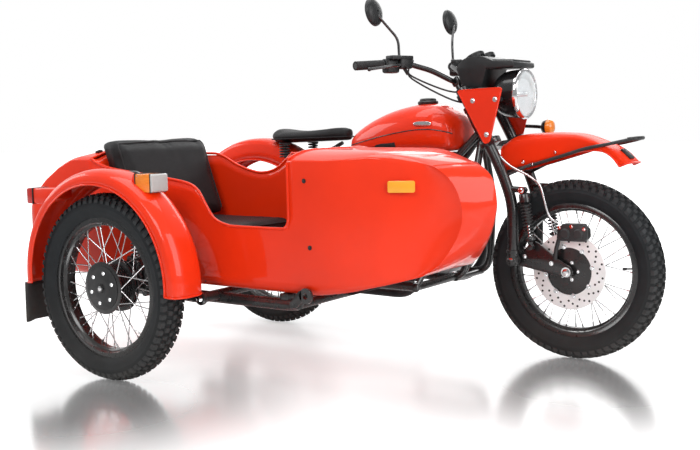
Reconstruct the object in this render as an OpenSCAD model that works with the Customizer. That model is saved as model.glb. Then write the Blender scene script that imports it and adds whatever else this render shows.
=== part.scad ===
// Sidecar motorcycle: a flat-twin motorcycle with a leading-link fork and a passenger
// sidecar on its right-hand side. Millimetres, +X forward, +Y to the left, +Z up.
// The modules work in the motorcycle's own frame, whose origin lies on the ground under
// the rear axle, and place() then moves everything to the middle of the whole vehicle.

/* [Wheels] */
// Distance from the rear axle to the front axle
wheelbase = 1470; // [1400:10:1780]
// Outer radius of each tyre
wheel_r = 343; // [285:1:410]
// Width of each tyre
tyre_w = 108; // [88:1:120]
// Radius of the tyre's bead seat
bead_r = 241; // [230:1:250]
// Width of each rim over its flanges
rim_w = 72; // [66:1:80]
// Number of spokes in each wheel
spoke_count = 40; // [20:4:40]
// Diameter of a spoke
spoke_d = 4; // [3:0.5:6]
// Radius of the hub drums of the rear and sidecar wheels
drum_r = 96; // [80:1:110]
// Width of each hub over its flanges
hub_w = 80; // [70:1:84]
// Diameter of each axle
axle_d = 20; // [14:1:24]
// Diameter of the front brake disc
disc_d = 290; // [260:5:300]
// Thickness of the front brake disc
disc_t = 5; // [4:0.5:6]

/* [Fork] */
// Angle of the steering axis from the vertical
rake = 28; // [24:1:32]
// Height at which the steering axis is placed, at the lower fork clamp
head_z = 827; // [780:1:900]
// Horizontal distance from the front axle back to the steering axis at that height
head_back = 370; // [330:5:420]
// Length of the steering head tube
head_len = 178; // [140:2:184]
// Distance between the centres of the two fork legs
fork_gauge = 224; // [214:2:240]
// Diameter of the fork legs
leg_d = 44; // [36:1:48]
// Length of the leading links, from pivot to axle
link_len = 210; // [180:5:230]
// Distance between the ends of the handlebar
bar_w = 824; // [760:4:900]
// Diameter of the handlebar tube
bar_d = 22; // [20:1:26]
// Diameter of the headlamp shell
lamp_d = 196; // [170:2:200]

/* [Motorcycle body] */
// Width of the engine block between its cylinders
engine_w = 236; // [210:2:250]
// Length of each cylinder with its head, from the block outwards
cylinder_len = 250; // [200:5:270]
// Radius of the cylinders' cooling fins
fin_r = 84; // [70:1:90]
// Diameter of the main frame tubes
frame_d = 30; // [24:1:34]
// Distance between the two lower frame rails
rail_gauge = 200; // [180:2:220]
// Radius of the rear fender's crown
rear_fender_r = 468; // [440:2:500]
// Depth of the rear fender's sides below its crown
rear_skirt = 96; // [40:4:100]
// Width of the rear and front fenders
fender_w = 150; // [140:2:170]

/* [Sidecar] */
// Distance from the motorcycle's middle plane to the tub's near side
tub_gap = 410; // [390:5:460]
// Width of the tub
tub_w = 560; // [470:5:680]
// Position of the tip of the tub's nose
nose_x = 1490; // [1440:5:1560]
// Distance that the tub's tail reaches behind the rear axle
tail_back = 550; // [500:5:620]
// Thickness of the tub's wall
tub_wall = 4; // [2:0.5:6]
// Gap round the trunk lid
lid_gap = 5; // [5:0.5:8]
// Distance from the tub's outer side to the middle of the sidecar wheel
wheel_gap = 177; // [170:1:220]
// Distance that the sidecar wheel's axle lies ahead of the rear axle
wheel_lead = 163; // [140:1:200]
// Radius of the sidecar fender's crown
side_fender_r = 405; // [395:1:425]
// Width of the sidecar fender
side_fender_w = 150; // [142:1:160]
// Diameter of the sidecar frame tubes
side_frame_d = 40; // [30:1:44]

/* [Finish] */
// Thickness of sheet metal
sheet = 3; // [2:0.5:4]
// Gap between pieces that are bolted or pressed together
seat_gap = 0.3; // [0.2:0.1:0.6]

/* [Hidden] */
$fn = 48;

paint = [0.86, 0.18, 0.07];
black = [0.07, 0.07, 0.07];
steel = [0.75, 0.75, 0.76];

joint_swell = 1.5;
running = 0.06;
axle_r = axle_d / 2;
axle_z = wheel_r;
tyre_hw = tyre_w / 2;
rim_hw = rim_w / 2;
hub_hw = hub_w / 2;
leg_y = fork_gauge / 2;
leg_r = leg_d / 2;
bar_hw = bar_w / 2;
rail_y = rail_gauge / 2;
frame_r = frame_d / 2;
side_r = side_frame_d / 2;

head_x = wheelbase - head_back;
tub_y = -(tub_gap + tub_w / 2);
tub_out = -(tub_gap + tub_w);
side_y = tub_out - wheel_gap;
side_out = side_y - side_fender_w / 2;
tail_x = -tail_back;
rail_z = 290;
rail_top = rail_z + frame_r;

// Middle of the whole vehicle, from its outermost pieces
front_end = wheelbase + wheel_r;
mid_x = (front_end + tail_x) / 2;
mid_y = (side_out + bar_hw) / 2;

module place() {
    translate([-mid_x, -mid_y, 0]) children();
}

// The same piece on the left and on the right of the motorcycle
module both_sides() {
    children();
    mirror([0, 1, 0]) children();
}

// Round bar from one point to another
module rod(a, b, r) {
    span = norm(b - a);
    translate(a)
        rotate([0, acos((b[2] - a[2]) / span), atan2(b[1] - a[1], b[0] - a[0])])
            cylinder(h = span, r = r);
}

// Turned lug that covers the bend where tubes of the given radius meet
module knuckle(r) {
    reach = r + joint_swell;
    chamfer = 0.4 * reach;
    rotate_extrude()
        polygon([[0, -reach], [chamfer, -reach], [reach, -chamfer], [reach, chamfer], [chamfer, reach], [0, reach]]);
}

// Bent tube through a list of points
module tube_path(points, r) {
    for (i = [0 : len(points) - 2]) rod(points[i], points[i + 1], r);
    for (i = [1 : len(points) - 2]) translate(points[i]) knuckle(r);
}

// Cylinder whose axis is along Y, between two values of Y
module cross_bar(x, z, y0, y1, r) {
    translate([x, y0, z]) rotate([-90, 0, 0]) cylinder(h = y1 - y0, r = r);
}

// Outline in X and Z, extruded along Y between two values of Y
module side_slab(points, y0, y1) {
    translate([0, y1, 0]) rotate([90, 0, 0]) linear_extrude(y1 - y0) polygon(points);
}

// Ring about an axis along Y, from points of radius and distance along the axis
module turned(points) {
    rotate([-90, 0, 0]) rotate_extrude($fn = 96) polygon(points);
}

/* Wheels */

tyre_mid_r = bead_r + 0.44 * (wheel_r - bead_r);
crown_h = wheel_r - tyre_mid_r;
bead_hw = rim_hw - 4.2;
crown_points = [for (t = [0 : 15 : 180])
    [tyre_mid_r + crown_h * pow(sin(t), 0.75),
     tyre_hw * sign(cos(t)) * pow(abs(cos(t)), 0.75)]];

module tyre() {
    seat = bead_r + seat_gap;
    turned(concat(crown_points,
        [[bead_r + 22, -(bead_hw + 8)], [bead_r + 14, -bead_hw], [seat, -bead_hw],
         [seat, bead_hw], [bead_r + 14, bead_hw], [bead_r + 22, bead_hw + 8]]));
}

rim_points = [[bead_r + 14, rim_hw], [bead_r + 14, rim_hw - 4], [bead_r, rim_hw - 4],
              [bead_r, 20], [bead_r - 11, 13], [bead_r - 11, -13], [bead_r, -20],
              [bead_r, 4 - rim_hw], [bead_r + 14, 4 - rim_hw], [bead_r + 14, -rim_hw],
              [bead_r - 3, -rim_hw], [bead_r - 3, -21], [bead_r - 14, -14],
              [bead_r - 14, 14], [bead_r - 3, 21], [bead_r - 3, rim_hw]];
spoke_lace = 26;

// Rim with its spokes, laced from a hub flange of the given radius
module rim(flange_r) {
    turned(rim_points);
    for (i = [0 : spoke_count - 1]) {
        side = i % 2 == 0 ? 1 : -1;
        lean = floor(i / 2) % 2 == 0 ? spoke_lace : -spoke_lace;
        a = i * 360 / spoke_count;
        rod([flange_r * cos(a + lean), side * (hub_hw - 5), flange_r * sin(a + lean)],
            [(bead_r - 12.5) * cos(a), side * 6, (bead_r - 12.5) * sin(a)], spoke_d / 2);
    }
}

// Hub with two spoke flanges and an axle bore
module hub(flange_r, core_r) {
    bore = axle_r + running;
    turned([[bore, -hub_hw], [flange_r, -hub_hw], [flange_r, 10 - hub_hw],
            [core_r, 12 - hub_hw], [core_r, hub_hw - 12], [flange_r, hub_hw - 10],
            [flange_r, hub_hw], [bore, hub_hw]]);
}

front_hub_r = 62;
disc_y = -62;
carrier_r = disc_d / 2 - 45;

module at_front_axle() { translate([wheelbase, 0, axle_z]) children(); }
module at_rear_axle() { translate([0, 0, axle_z]) children(); }
module at_side_axle() { translate([wheel_lead, side_y, axle_z]) children(); }

module front_tyre() { color(black) place() at_front_axle() tyre(); }
module rear_tyre() { color(black) place() at_rear_axle() tyre(); }
module sidecar_tyre() { color(black) place() at_side_axle() tyre(); }
module front_rim() { color(black) place() at_front_axle() rim(front_hub_r - 5); }
module rear_rim() { color(black) place() at_rear_axle() rim(drum_r - 5); }
module sidecar_rim() { color(black) place() at_side_axle() rim(drum_r - 5); }
module rear_hub() { color(black) place() at_rear_axle() hub(drum_r, drum_r - 16); }
module sidecar_hub() { color(black) place() at_side_axle() hub(drum_r, drum_r - 16); }

module front_hub() {
    color(black) place() at_front_axle() {
        hub(front_hub_r, front_hub_r - 22);
        carrier_y = disc_y + disc_t / 2 + seat_gap;
        turned([[axle_r + running, carrier_y], [carrier_r, carrier_y],
                [carrier_r, carrier_y + 5], [45, carrier_y + 7], [45, 2 - hub_hw],
                [axle_r + running, 2 - hub_hw]]);
    }
}

module brake_disc() {
    color(steel) place() at_front_axle()
        turned([[carrier_r - 12, disc_y - disc_t / 2], [disc_d / 2, disc_y - disc_t / 2],
                [disc_d / 2, disc_y + disc_t / 2], [carrier_r - 12, disc_y + disc_t / 2]]);
}

/* Fork and what turns with it */

module on_steering_axis() {
    translate([head_x, 0, head_z]) rotate([0, -rake, 0]) children();
}

leg_offset = 53;
stem_r = 16;
clamp_t = 26;
lower_clamp_z = -44;
head_low = lower_clamp_z + clamp_t + 3;
upper_clamp_z = head_low + head_len + 3;
leg_top = upper_clamp_z + clamp_t;
link_rise = 37;
pivot_x = wheelbase - sqrt(pow(link_len, 2) - pow(link_rise, 2));
pivot_z = axle_z + link_rise;
leg_knee = [head_x + 115, leg_y, head_z - 100];
leg_low = [pivot_x, leg_y, head_z - 227];
leg_foot = [pivot_x, leg_y, pivot_z - 24];
link_y = 82;
link_t = 12;

// Point given along (x) and across (z) the steering axis, in the motorcycle's frame
function steered(x, y, z) = [head_x + x * cos(rake) - z * sin(rake), y,
                             head_z + x * sin(rake) + z * cos(rake)];

module fork_clamp() {
    wide = leg_y + leg_r + 3;
    front = leg_offset + leg_r + 4;
    linear_extrude(clamp_t)
        polygon([[-22, -16], [6, -30], [24, -wide], [front, -wide], [front, -(leg_y - leg_r - 6)],
                 [44, 0], [front, leg_y - leg_r - 6], [front, wide], [24, wide], [6, 30], [-22, 16]]);
}

module front_fork() {
    color(black) place() {
        on_steering_axis() {
            translate([0, 0, lower_clamp_z]) cylinder(h = leg_top - lower_clamp_z, r = stem_r);
            translate([0, 0, lower_clamp_z]) fork_clamp();
            translate([0, 0, upper_clamp_z]) fork_clamp();
        }
        both_sides() tube_path([steered(leg_offset, leg_y, leg_top), leg_knee, leg_low, leg_foot], leg_r);
        both_sides() cross_bar(pivot_x, pivot_z, link_y + link_t / 2 + seat_gap, leg_y, 15);
        both_sides() rod(shock_top, [leg_low[0], leg_y, shock_top[2]], 10);
        both_sides() rod([leg_knee[0] + 10, leg_y - 6, leg_knee[2] - 27],
                         [leg_knee[0] + 115, fender_y + 6 + seat_gap, leg_knee[2] + 19], 6);
    }
}

shock_top = [wheelbase - 161, leg_y, axle_z + 306];
shock_foot = [wheelbase - 132, leg_y, axle_z + 90];

module leading_links() {
    color(black) place() {
        both_sides() {
            translate([0, link_y - link_t / 2, 0]) link_plate();
        }
        cross_bar(wheelbase, axle_z, -link_y - 20, link_y + 20, axle_r);
    }
}

// Side plate of a leading link, with a boss at each end and at the shock absorber
module link_plate() {
    translate([0, link_t, 0]) rotate([90, 0, 0]) linear_extrude(link_t)
        polygon([[pivot_x - 20, pivot_z - 12], [pivot_x, pivot_z - 22], [wheelbase + 6, axle_z - 22],
                 [wheelbase + 22, axle_z - 4], [wheelbase + 18, axle_z + 16], [wheelbase - 40, axle_z + 50],
                 [shock_foot[0] + 16, shock_foot[2] + 12], [shock_foot[0], shock_foot[2] + 18],
                 [shock_foot[0] - 20, shock_foot[2] + 4], [pivot_x, pivot_z + 22],
                 [pivot_x - 20, pivot_z + 12]]);
}

module damper(top, foot, body_r) {
    along = (foot - top) / norm(foot - top);
    rod(top + 26 * along, foot - 60 * along, body_r);
    rod(top, foot, body_r * 0.45);
}

module front_shocks() {
    color(black) place() both_sides() difference() {
        union() {
            damper(shock_top, shock_foot, 22);
            cross_bar(shock_foot[0], shock_foot[2], link_y + link_t / 2 + seat_gap, leg_y + 8, 9);
        }
        rod(shock_top - [60, 0, 0], shock_top + [seat_gap, 0, 0], 10 + seat_gap);
    }
}

fender_y = fender_w / 2;
ridge = [[-272, 479], [-229, 508], [-153, 518], [-39, 520], [46, 511], [128, 479], [180, 453], [229, 408]];
hem = [[-229, 376], [-111, 407], [-6, 436], [60, 452], [130, 451], [170, 400]];
front_ridge = [for (p = ridge) [wheelbase + p[0], axle_z + p[1]]];
front_hem = [for (p = hem) [wheelbase + p[0], axle_z + p[1]]];

function reversed(list) = [for (i = [len(list) - 1 : -1 : 0]) list[i]];

module front_fender() {
    under = [for (p = front_ridge) [p[0], p[1] - sheet]];
    color(paint) place() {
        side_slab(concat(front_ridge, reversed(under)), -fender_y, fender_y);
        both_sides() side_slab(concat(front_ridge, reversed(front_hem)), fender_y - sheet, fender_y);
    }
}

guard_r = 7;

module fender_guard() {
    y = fender_y + guard_r + seat_gap;
    tip = [wheelbase + 243, 44, axle_z + 496];
    color(black) place() {
        both_sides() {
            rod([wheelbase + 60, y, axle_z + 486], [wheelbase + 165, y, axle_z + 482], guard_r);
            rod([wheelbase + 165, y, axle_z + 482], tip, guard_r);
            translate([wheelbase + 165, y, axle_z + 482]) knuckle(guard_r);
            translate(tip) knuckle(guard_r);
        }
        cross_bar(tip[0], tip[2], -tip[1], tip[1], guard_r);
    }
}

lamp_r = lamp_d / 2;
lamp_x = wheelbase - 203;
lamp_z = head_z + 186;

// Turned shape about the headlamp's own axis, which points forward
module lamp_turned(points) {
    translate([lamp_x, 0, lamp_z]) rotate([0, 90, 0]) rotate_extrude($fn = 72) polygon(points);
}

ear_y = leg_y + leg_r + 3 + seat_gap;

module headlamp() {
    color(black) place() {
        lamp_turned([[0, -130], [34, -128], [64, -112], [86, -80], [lamp_r - 5, -40],
                     [lamp_r, -14], [lamp_r, 0], [lamp_r - 8, 0], [lamp_r - 8, -12], [0, -12]]);
        both_sides() cross_bar(lamp_x - 62, lamp_z - 20, lamp_r - 26, ear_y - seat_gap, 9);
    }
}

module headlamp_lens() {
    lens_r = lamp_r - 8 - seat_gap;
    color([0.9, 0.95, 0.97]) place()
        lamp_turned([[0, -12 + seat_gap], [lens_r, -12 + seat_gap], [lens_r, -2], [60, 8], [30, 13], [0, 15]]);
}

module lamp_brackets() {
    color(paint) place() both_sides()
        side_slab([[head_x - 55, head_z + 200], [head_x + 60, head_z], [head_x + 78, head_z + 8],
                   [head_x + 132, head_z + 204]], ear_y, ear_y + sheet);
}

module instrument_pod() {
    base = head_z + 213;
    color(black) place()
        side_slab([[head_x - 62, base], [head_x + 18, base], [head_x + 42, lamp_z + lamp_r + seat_gap],
                   [head_x + 158, lamp_z + lamp_r + seat_gap], [head_x + 158, base + 100], [head_x + 60, base + 104],
                   [head_x + 24, base + 122], [head_x - 46, base + 118], [head_x - 88, base + 80]],
                  -92, 92);
}

bar_r = bar_d / 2;
bar_mid = steered(12, 0, leg_top + 75);
hand_in = [head_x - 262, bar_hw - 228, head_z + 318];
grip_out = [head_x - 346, bar_hw, head_z + 304];
grip_along = (grip_out - hand_in) / norm(grip_out - hand_in);
grip_in = grip_out - 134 * grip_along;

module handlebar() {
    bend = [head_x - 186, 117, head_z + 288];
    stub = [bar_mid[0], 62, bar_mid[2]];
    color(black) place() {
        both_sides() {
            tube_path([stub, bend, hand_in, grip_out], bar_r);
            rod(steered(12, 40, leg_top + seat_gap), steered(12, 40, leg_top + 75), 13);
        }
        cross_bar(bar_mid[0], bar_mid[2], -62, 62, bar_r);
        both_sides() translate(stub) knuckle(bar_r);
    }
}

module hand_controls() {
    perch = grip_in - 92 * grip_along;
    lever_root = grip_in - 45 * grip_along;
    color(black) place() both_sides() difference() {
        union() {
            rod(grip_in + 4 * grip_along, grip_out - 2 * grip_along, 17);
            rod(perch, grip_in + 6 * grip_along, 21);
            rod(perch + [30, 0, 8], perch + [18, 86, 12], 17);
            tube_path([lever_root + [10, 0, 0], lever_root + [48, 14, -6], grip_out + [44, -30, -14]], 6);
        }
        rod(perch - 40 * grip_along, grip_out + 10 * grip_along, bar_r + seat_gap);
    }
}

mirror_foot = grip_in - 78 * grip_along + [0, 0, 22.5];
mirror_head = [head_x - 330, 297, head_z + 514];

module mirrors() {
    color(black) place() both_sides() {
        tube_path([mirror_foot + [0, 0, -1], mirror_foot + [-4, 0, 75], mirror_head + [14, 0, -10]], 6);
        translate(mirror_head) rotate([0, 80, 0]) translate([0, 0, -10]) cylinder(h = 20, r = 56);
    }
}

signal_y = 150;
signal_x = head_x + 190;
signal_z = head_z + 55;

module front_signal() {
    color([0.95, 0.5, 0.05]) place() {
        rod([signal_x - 24, signal_y, signal_z], [signal_x + 24, signal_y, signal_z], 30);
        rod([head_x + 78, ear_y + sheet + seat_gap + 8, signal_z + 6], [signal_x - 20, signal_y, signal_z], 8);
    }
}

module brake_caliper() {
    x = wheelbase + 20;
    low = axle_z + 116;
    disc_room = disc_t / 2 + 5.5;
    color(black) place() difference() {
        union() {
            translate([x - 62, disc_y - 30, low]) cube([124, 58, 66]);
            rod([x - 50, -link_y, low + 10], [wheelbase - 44, -link_y, axle_z + 40], 5.8);
        }
        translate([x - 70, disc_y - disc_room, low - 1]) cube([140, 2 * disc_room, 46]);
    }
}

/* Motorcycle */

module head_tube() {
    on_steering_axis() translate([0, 0, head_low]) difference() {
        cylinder(h = head_len, r = 29);
        translate([0, 0, -1]) cylinder(h = head_len + 2, r = stem_r + running);
    }
}

engine_x = head_x - 105;
pivot_rear = [400, 0, 350];
frame_top_z = 745;
tank_low = 791;

module motorcycle_frame() {
    down_top = steered(-20, 12, head_low + 25);
    spine_top = steered(-20, 12, head_low + 60);
    color(black) place() {
        difference() {
            union() {
                both_sides() {
                    tube_path([down_top, [head_x - 25, rail_y - 8, 600], [head_x - 45, rail_y, 330],
                               [head_x - 90, rail_y, rail_z], [440, rail_y, rail_z],
                               [395, 162, 310], [330, 162, 400], [270, 130, 740], [620, 60, frame_top_z],
                               [head_x - 140, 45, frame_top_z], spine_top], frame_r);
                }
                on_steering_axis() translate([0, 0, head_low]) cylinder(h = head_len, r = 29);
                cross_bar(head_x - 90, rail_z, -rail_y, rail_y, 12);
                cross_bar(440, rail_z, -rail_y, rail_y, 12);
                cross_bar(270, 740, -130, 130, 12);
                both_sides() translate([pivot_rear[0] - 32, 89, rail_z]) cube([64, 14, 94]);
                translate([600, -60, frame_top_z]) cube([30, 120, tank_low - frame_top_z - seat_gap]);
                translate([head_x - 180, -45, frame_top_z]) cube([30, 90, tank_low - frame_top_z - seat_gap]);
                translate([238, -30, 728]) cube([30, 60, 40]);
                translate([228, -25, 700]) cube([38, 50, 45]);
            }
            on_steering_axis() translate([0, 0, head_low - 20]) cylinder(h = head_len + 60, r = stem_r + running);
            on_steering_axis() translate([0, 0, head_low - 40]) cylinder(h = 40, r = 60);
            cross_bar(rear_arch[0], rear_arch[1], -50, 50, rear_fender_r + seat_gap);
            cross_bar(pivot_rear[0], pivot_rear[2], -110, 110, 20 + seat_gap);
        }
    }
}

cyl_x = engine_x - 145;
cyl_z = rail_top + 135;

module engine() {
    low = rail_top + seat_gap;
    half = engine_w / 2;
    color(steel) place() {
        side_slab([[engine_x - 300, low], [engine_x - 20, low], [engine_x, low + 40], [engine_x, low + 230],
                   [engine_x - 60, low + 296], [engine_x - 300, low + 296]], -half, half);
        side_slab([[500, low + 40], [engine_x - 299, low + 20], [engine_x - 299, low + 270], [560, low + 230],
                   [500, low + 160]], -84, 84);
    }
}

module cylinders() {
    fin_pitch = 16;
    fins = floor((cylinder_len - 90) / fin_pitch);
    core = fin_r - 18;
    profile = concat([[0, 0], [core, 0]],
        [for (i = [0 : fins - 1], step = [[core, 4], [fin_r, 4], [fin_r, 9], [core, 9]])
            [step[0], i * fin_pitch + step[1]]],
        [[core, cylinder_len - 84], [fin_r - 4, cylinder_len - 84], [fin_r - 4, cylinder_len - 24],
         [fin_r - 26, cylinder_len], [0, cylinder_len]]);
    color(steel) place() both_sides()
        translate([cyl_x, engine_w / 2 + seat_gap, cyl_z]) rotate([-90, 0, 0]) rotate_extrude($fn = 72) polygon(profile);
}

module carburettors() {
    back = cyl_x - 120;
    color(steel) place() both_sides() {
        rod([back, 190, cyl_z + 40], [cyl_x - fin_r * 0.6, 190, cyl_z + 40], 22);
        rod([back, 190, cyl_z + 70], [back, 190, cyl_z - 30], 30);
        rod([back, 190, cyl_z + 40], [back - 30, engine_w / 2 + seat_gap, cyl_z + 40], 24);
    }
}

exhaust_z = 235;

module exhaust() {
    port_y = engine_w / 2 + cylinder_len - 60;
    color(steel) place() both_sides() {
        difference() {
            tube_path([[cyl_x + 50, port_y, cyl_z - 30], [cyl_x + 90, port_y, cyl_z - 90],
                       [cyl_x + 40, 240, exhaust_z], [330, 215, exhaust_z], [250, 215, exhaust_z + 10]], 19);
            cross_bar(cyl_x, cyl_z, port_y - 60, port_y + 60, fin_r - 4 + seat_gap);
        }
        rod([255, 215, exhaust_z + 10], [-300, 215, exhaust_z + 60], 40);
    }
}

tank_x = head_x - 194;

module fuel_tank() {
    color(paint) place() hull() {
        for (s = [-1, 1]) {
            translate([tank_x, s * 45, tank_low + 95]) sphere(r = 95, $fn = 32);
            translate([tank_x - 80, s * 42, tank_low + 98]) sphere(r = 98, $fn = 32);
            translate([500, s * 25, tank_low + 42]) sphere(r = 42, $fn = 32);
        }
    }
}

module saddle() {
    color(black) place() hull() {
        for (s = [-1, 1]) {
            translate([120, s * 95, 860]) sphere(r = 30, $fn = 24);
            translate([80, s * 60, 866]) sphere(r = 28, $fn = 24);
            translate([250, s * 85, 854]) sphere(r = 24, $fn = 24);
            translate([415, s * 22, 862]) sphere(r = 22, $fn = 24);
        }
    }
}

module saddle_springs() {
    color(steel) place() {
        both_sides() cross_bar(253, 790, 0, 74, 9);
        both_sides() rod([253, 70, 790], [150, 104, 790], 9);
        both_sides() rod([150, 104, 790], [150, 104, 829.1], 24);
        translate([238, -30, 768 + seat_gap]) cube([30, 60, 30]);
        rod([253, 0, 790], [390, 0, 829.5], 9);
    }
}

rear_arch = [-62, 385];

module rear_fender() {
    color(paint) place() translate([rear_arch[0], 0, rear_arch[1]]) rotate([90, 0, 0])
        rotate([0, 0, 22]) rotate_extrude(angle = 148, $fn = 96)
            polygon([[rear_fender_r, -45], [rear_fender_r, 45], [rear_fender_r - 14, 66],
                     [rear_fender_r - rear_skirt, fender_y], [rear_fender_r - rear_skirt, fender_y - sheet],
                     [rear_fender_r - 16, 64], [rear_fender_r - sheet, 44], [rear_fender_r - sheet, -44],
                     [rear_fender_r - 16, -64], [rear_fender_r - rear_skirt, sheet - fender_y],
                     [rear_fender_r - rear_skirt, -fender_y], [rear_fender_r - 14, -66]]);
}

module tail_lamp() {
    color([0.7, 0.05, 0.03]) place() difference() {
        translate([rear_arch[0] - rear_fender_r - 12, -45, 560]) cube([60, 90, 70]);
        translate([rear_arch[0], 0, rear_arch[1]]) rotate([90, 0, 0])
            cylinder(h = 100, r = rear_fender_r + seat_gap, center = true, $fn = 96);
    }
}

arm_y = 118;

module swingarm() {
    color(black) place() {
        both_sides() rod([pivot_rear[0], arm_y, pivot_rear[2]], [0, arm_y, axle_z], 17);
        cross_bar(pivot_rear[0], pivot_rear[2], -arm_y - 14, arm_y + 14, 20);
        cross_bar(0, axle_z, -arm_y - 20, arm_y + 20, axle_r);
        both_sides() cross_bar(60, axle_z + 3, arm_y, 176, 8);
    }
}

module final_drive() {
    drive_y = -82;
    color(steel) place() difference() {
        union() {
            cross_bar(0, axle_z, -100, -58, 84);
            rod([40, drive_y, axle_z + 10], [500 - 1.8, drive_y + 10, 402], 13);
        }
        cross_bar(0, axle_z, -120, -40, axle_r + running);
    }
}

module shock_absorbers() {
    color(black) place() {
        both_sides() difference() {
            damper([262, 170, 736], [60, 170, axle_z + 3], 26);
            cross_bar(60, axle_z + 3, 110, 190, 8 + seat_gap);
        }
        translate([0, side_y + 107, 0]) difference() {
            damper([side_shock_x, 0, side_shock_z], [side_shock_x, 0, axle_z + 24], 24);
            cross_bar(side_shock_x, side_shock_z, -1, 30, 9 + seat_gap);
            cross_bar(side_shock_x, axle_z + 24, -30, 30, 8);
        }
    }
}

module footrests() {
    color(black) place() both_sides() {
        rod([640, rail_y + frame_r + seat_gap, rail_z], [640, 250, rail_z], 10);
        rod([640, 150, rail_z], [640, 245, rail_z], 17);
    }
}

/* Sidecar */

side_z = 300;
tub_low = 340;
rail_in = -400;
rail_out = tub_out + 30;
tower_x = wheel_lead + 17;
tower_y = tub_out - 26;
eye = [nose_x - 560, tub_out - 10, 345];
side_shock_x = wheel_lead + 30;
side_shock_z = 660;

module sidecar_frame() {
    color(black) place() difference() {
        union() {
            tube_path([[nose_x - 490, rail_in, side_z], [-60, rail_in, side_z], [-60, rail_out, side_z],
                       [nose_x - 640, rail_out, side_z]], side_r);
            rod([nose_x - 640, rail_out, side_z], [eye[0] - 44, tub_out + 4, 314], side_r - 4);
            side_slab([[eye[0] - 76, 296], [eye[0] - 76, 320], [eye[0] - 12, eye[2] + 20], [eye[0] - 12, eye[2] - 20]],
                      eye[1] - 6, eye[1] + 6);
            translate([nose_x - 640, rail_out, side_z]) knuckle(side_r);
            for (x = [440, nose_x - 640]) cross_bar(x, side_z, rail_out, rail_in, side_r - 4);
            for (x = [20, nose_x - 700], y = [rail_in - 30, rail_out + 10])
                translate([x, y - 20, side_z]) cube([40, 40, tub_low - side_z - seat_gap]);
            cross_bar(eye[0], eye[2], eye[1] - 6, eye[1] + 6, 27);
            cross_bar(tower_x, side_z, tower_y, rail_out, 14);
            rod([tower_x, tower_y, side_z], [tower_x, tower_y, fender_mount_z], 14);
            cross_bar(tower_x, fender_mount_z, side_y + side_fender_w / 2 + seat_gap, tower_y, 12);
            translate([tower_x, tower_y, fender_mount_z]) knuckle(14);
            translate([tower_x, tower_y, side_z]) knuckle(14);
            cross_bar(side_shock_x, side_shock_z, side_y + 107, tower_y, 9);
        }
        cross_bar(eye[0], eye[2], eye[1] - 20, eye[1] + 60, 10);
    }
}

side_arch = [wheel_lead, axle_z + 25];
fender_mount_z = side_arch[1] + side_fender_r - 28;

module sidecar_struts() {
    color(black) place() {
        cross_bar(head_x - 100, side_z - 5, rail_in, -rail_y, 15);
        cross_bar(405, side_z - 5, rail_in, -rail_y, 15);
        rod([head_x - 28, -rail_y + 6, 620], [head_x - 100, rail_in, side_z], 15);
        rod([276, -134, 700], [330, rail_in, side_z], 15);
    }
}

side_pivot = [wheel_lead + 350, axle_z - 30];

module sidecar_swingarm() {
    y = side_y + 107;
    color(black) place() {
        rod([side_pivot[0], y, side_pivot[1]], [wheel_lead, y, axle_z], 19);
        cross_bar(side_pivot[0], side_pivot[1], y, rail_out + 4, 17);
        cross_bar(wheel_lead, axle_z, side_y - hub_hw - 12, y, axle_r);
        cross_bar(wheel_lead, axle_z, side_y + hub_hw + 5, side_y + hub_hw + 12, drum_r);
    }
}

// Outline of the tub from the side, through its middle
tub_profile = [[tail_x + 410, 843], [tail_x + 344, 814], [tail_x + 232, 765], [tail_x + 150, 716],
               [tail_x + 70, 650], [tail_x + 20, 580], [tail_x, 500], [tail_x + 30, 420],
               [tail_x + 110, 360], [tail_x + 250, tub_low], [nose_x - 540, tub_low],
               [nose_x - 408, 362], [nose_x - 278, 395], [nose_x - 174, 428], [nose_x - 97, 466],
               [nose_x - 20, 560], [nose_x, 640], [nose_x - 12, 731], [nose_x - 77, 777],
               [nose_x - 169, 808], [nose_x - 364, 826], [nose_x - 640, 826], [nose_x - 900, 843]];
taper_x = nose_x - 490;

// Half width of the tub, which narrows towards its nose
function half_width(x) = tub_w / 2 - 130 * pow(max(x - taper_x, 0) / 344, 1.6);

tub_plan = concat(
    [[tail_x, -(tub_w / 2 - 60)], [tail_x + 20, -(tub_w / 2 - 24)], [tail_x + 70, -tub_w / 2]],
    [for (x = [taper_x : 70 : nose_x]) [x, -half_width(x)]],
    [[nose_x + 10, -half_width(nose_x)], [nose_x + 10, half_width(nose_x)]],
    [for (x = [taper_x + 490 : -70 : taper_x]) [x, half_width(x)]],
    [[tail_x + 70, tub_w / 2], [tail_x + 20, tub_w / 2 - 24], [tail_x, tub_w / 2 - 60]]);

crown = 45;
turn_in = 45;

// Outline of the tub across its width: a crowned deck, upright sides and rounded chines
tub_section = let (w = tub_w / 2, top = 845, side_top = top - crown)
    concat([for (t = [-1 : 0.2 : 1]) [w * t, side_top + crown * (1 - t * t)]],
           [for (a = [0 : 30 : 90]) [w - turn_in + turn_in * cos(a), tub_low + turn_in * (1 - sin(a))]],
           [for (a = [90 : -30 : 0]) [turn_in - w - turn_in * cos(a), tub_low + turn_in * (1 - sin(a))]]);

prow_lean = 31;

// One flank of the prow: the side outline, swept back from the middle plane
module prow_flank(inset, s) {
    translate([nose_x, tub_y, 0]) rotate([0, 0, s * prow_lean]) translate([-nose_x * cos(prow_lean), 0, 0])
        translate([0, 2500, 0]) rotate([90, 0, 0]) linear_extrude(5000) offset(delta = -inset)
            polygon([for (p = tub_profile) [nose_x * cos(prow_lean) + (p[0] - nose_x) * cos(prow_lean)
                     - (p[0] < 0 ? 900 : 0), p[1]]]);
}

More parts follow.
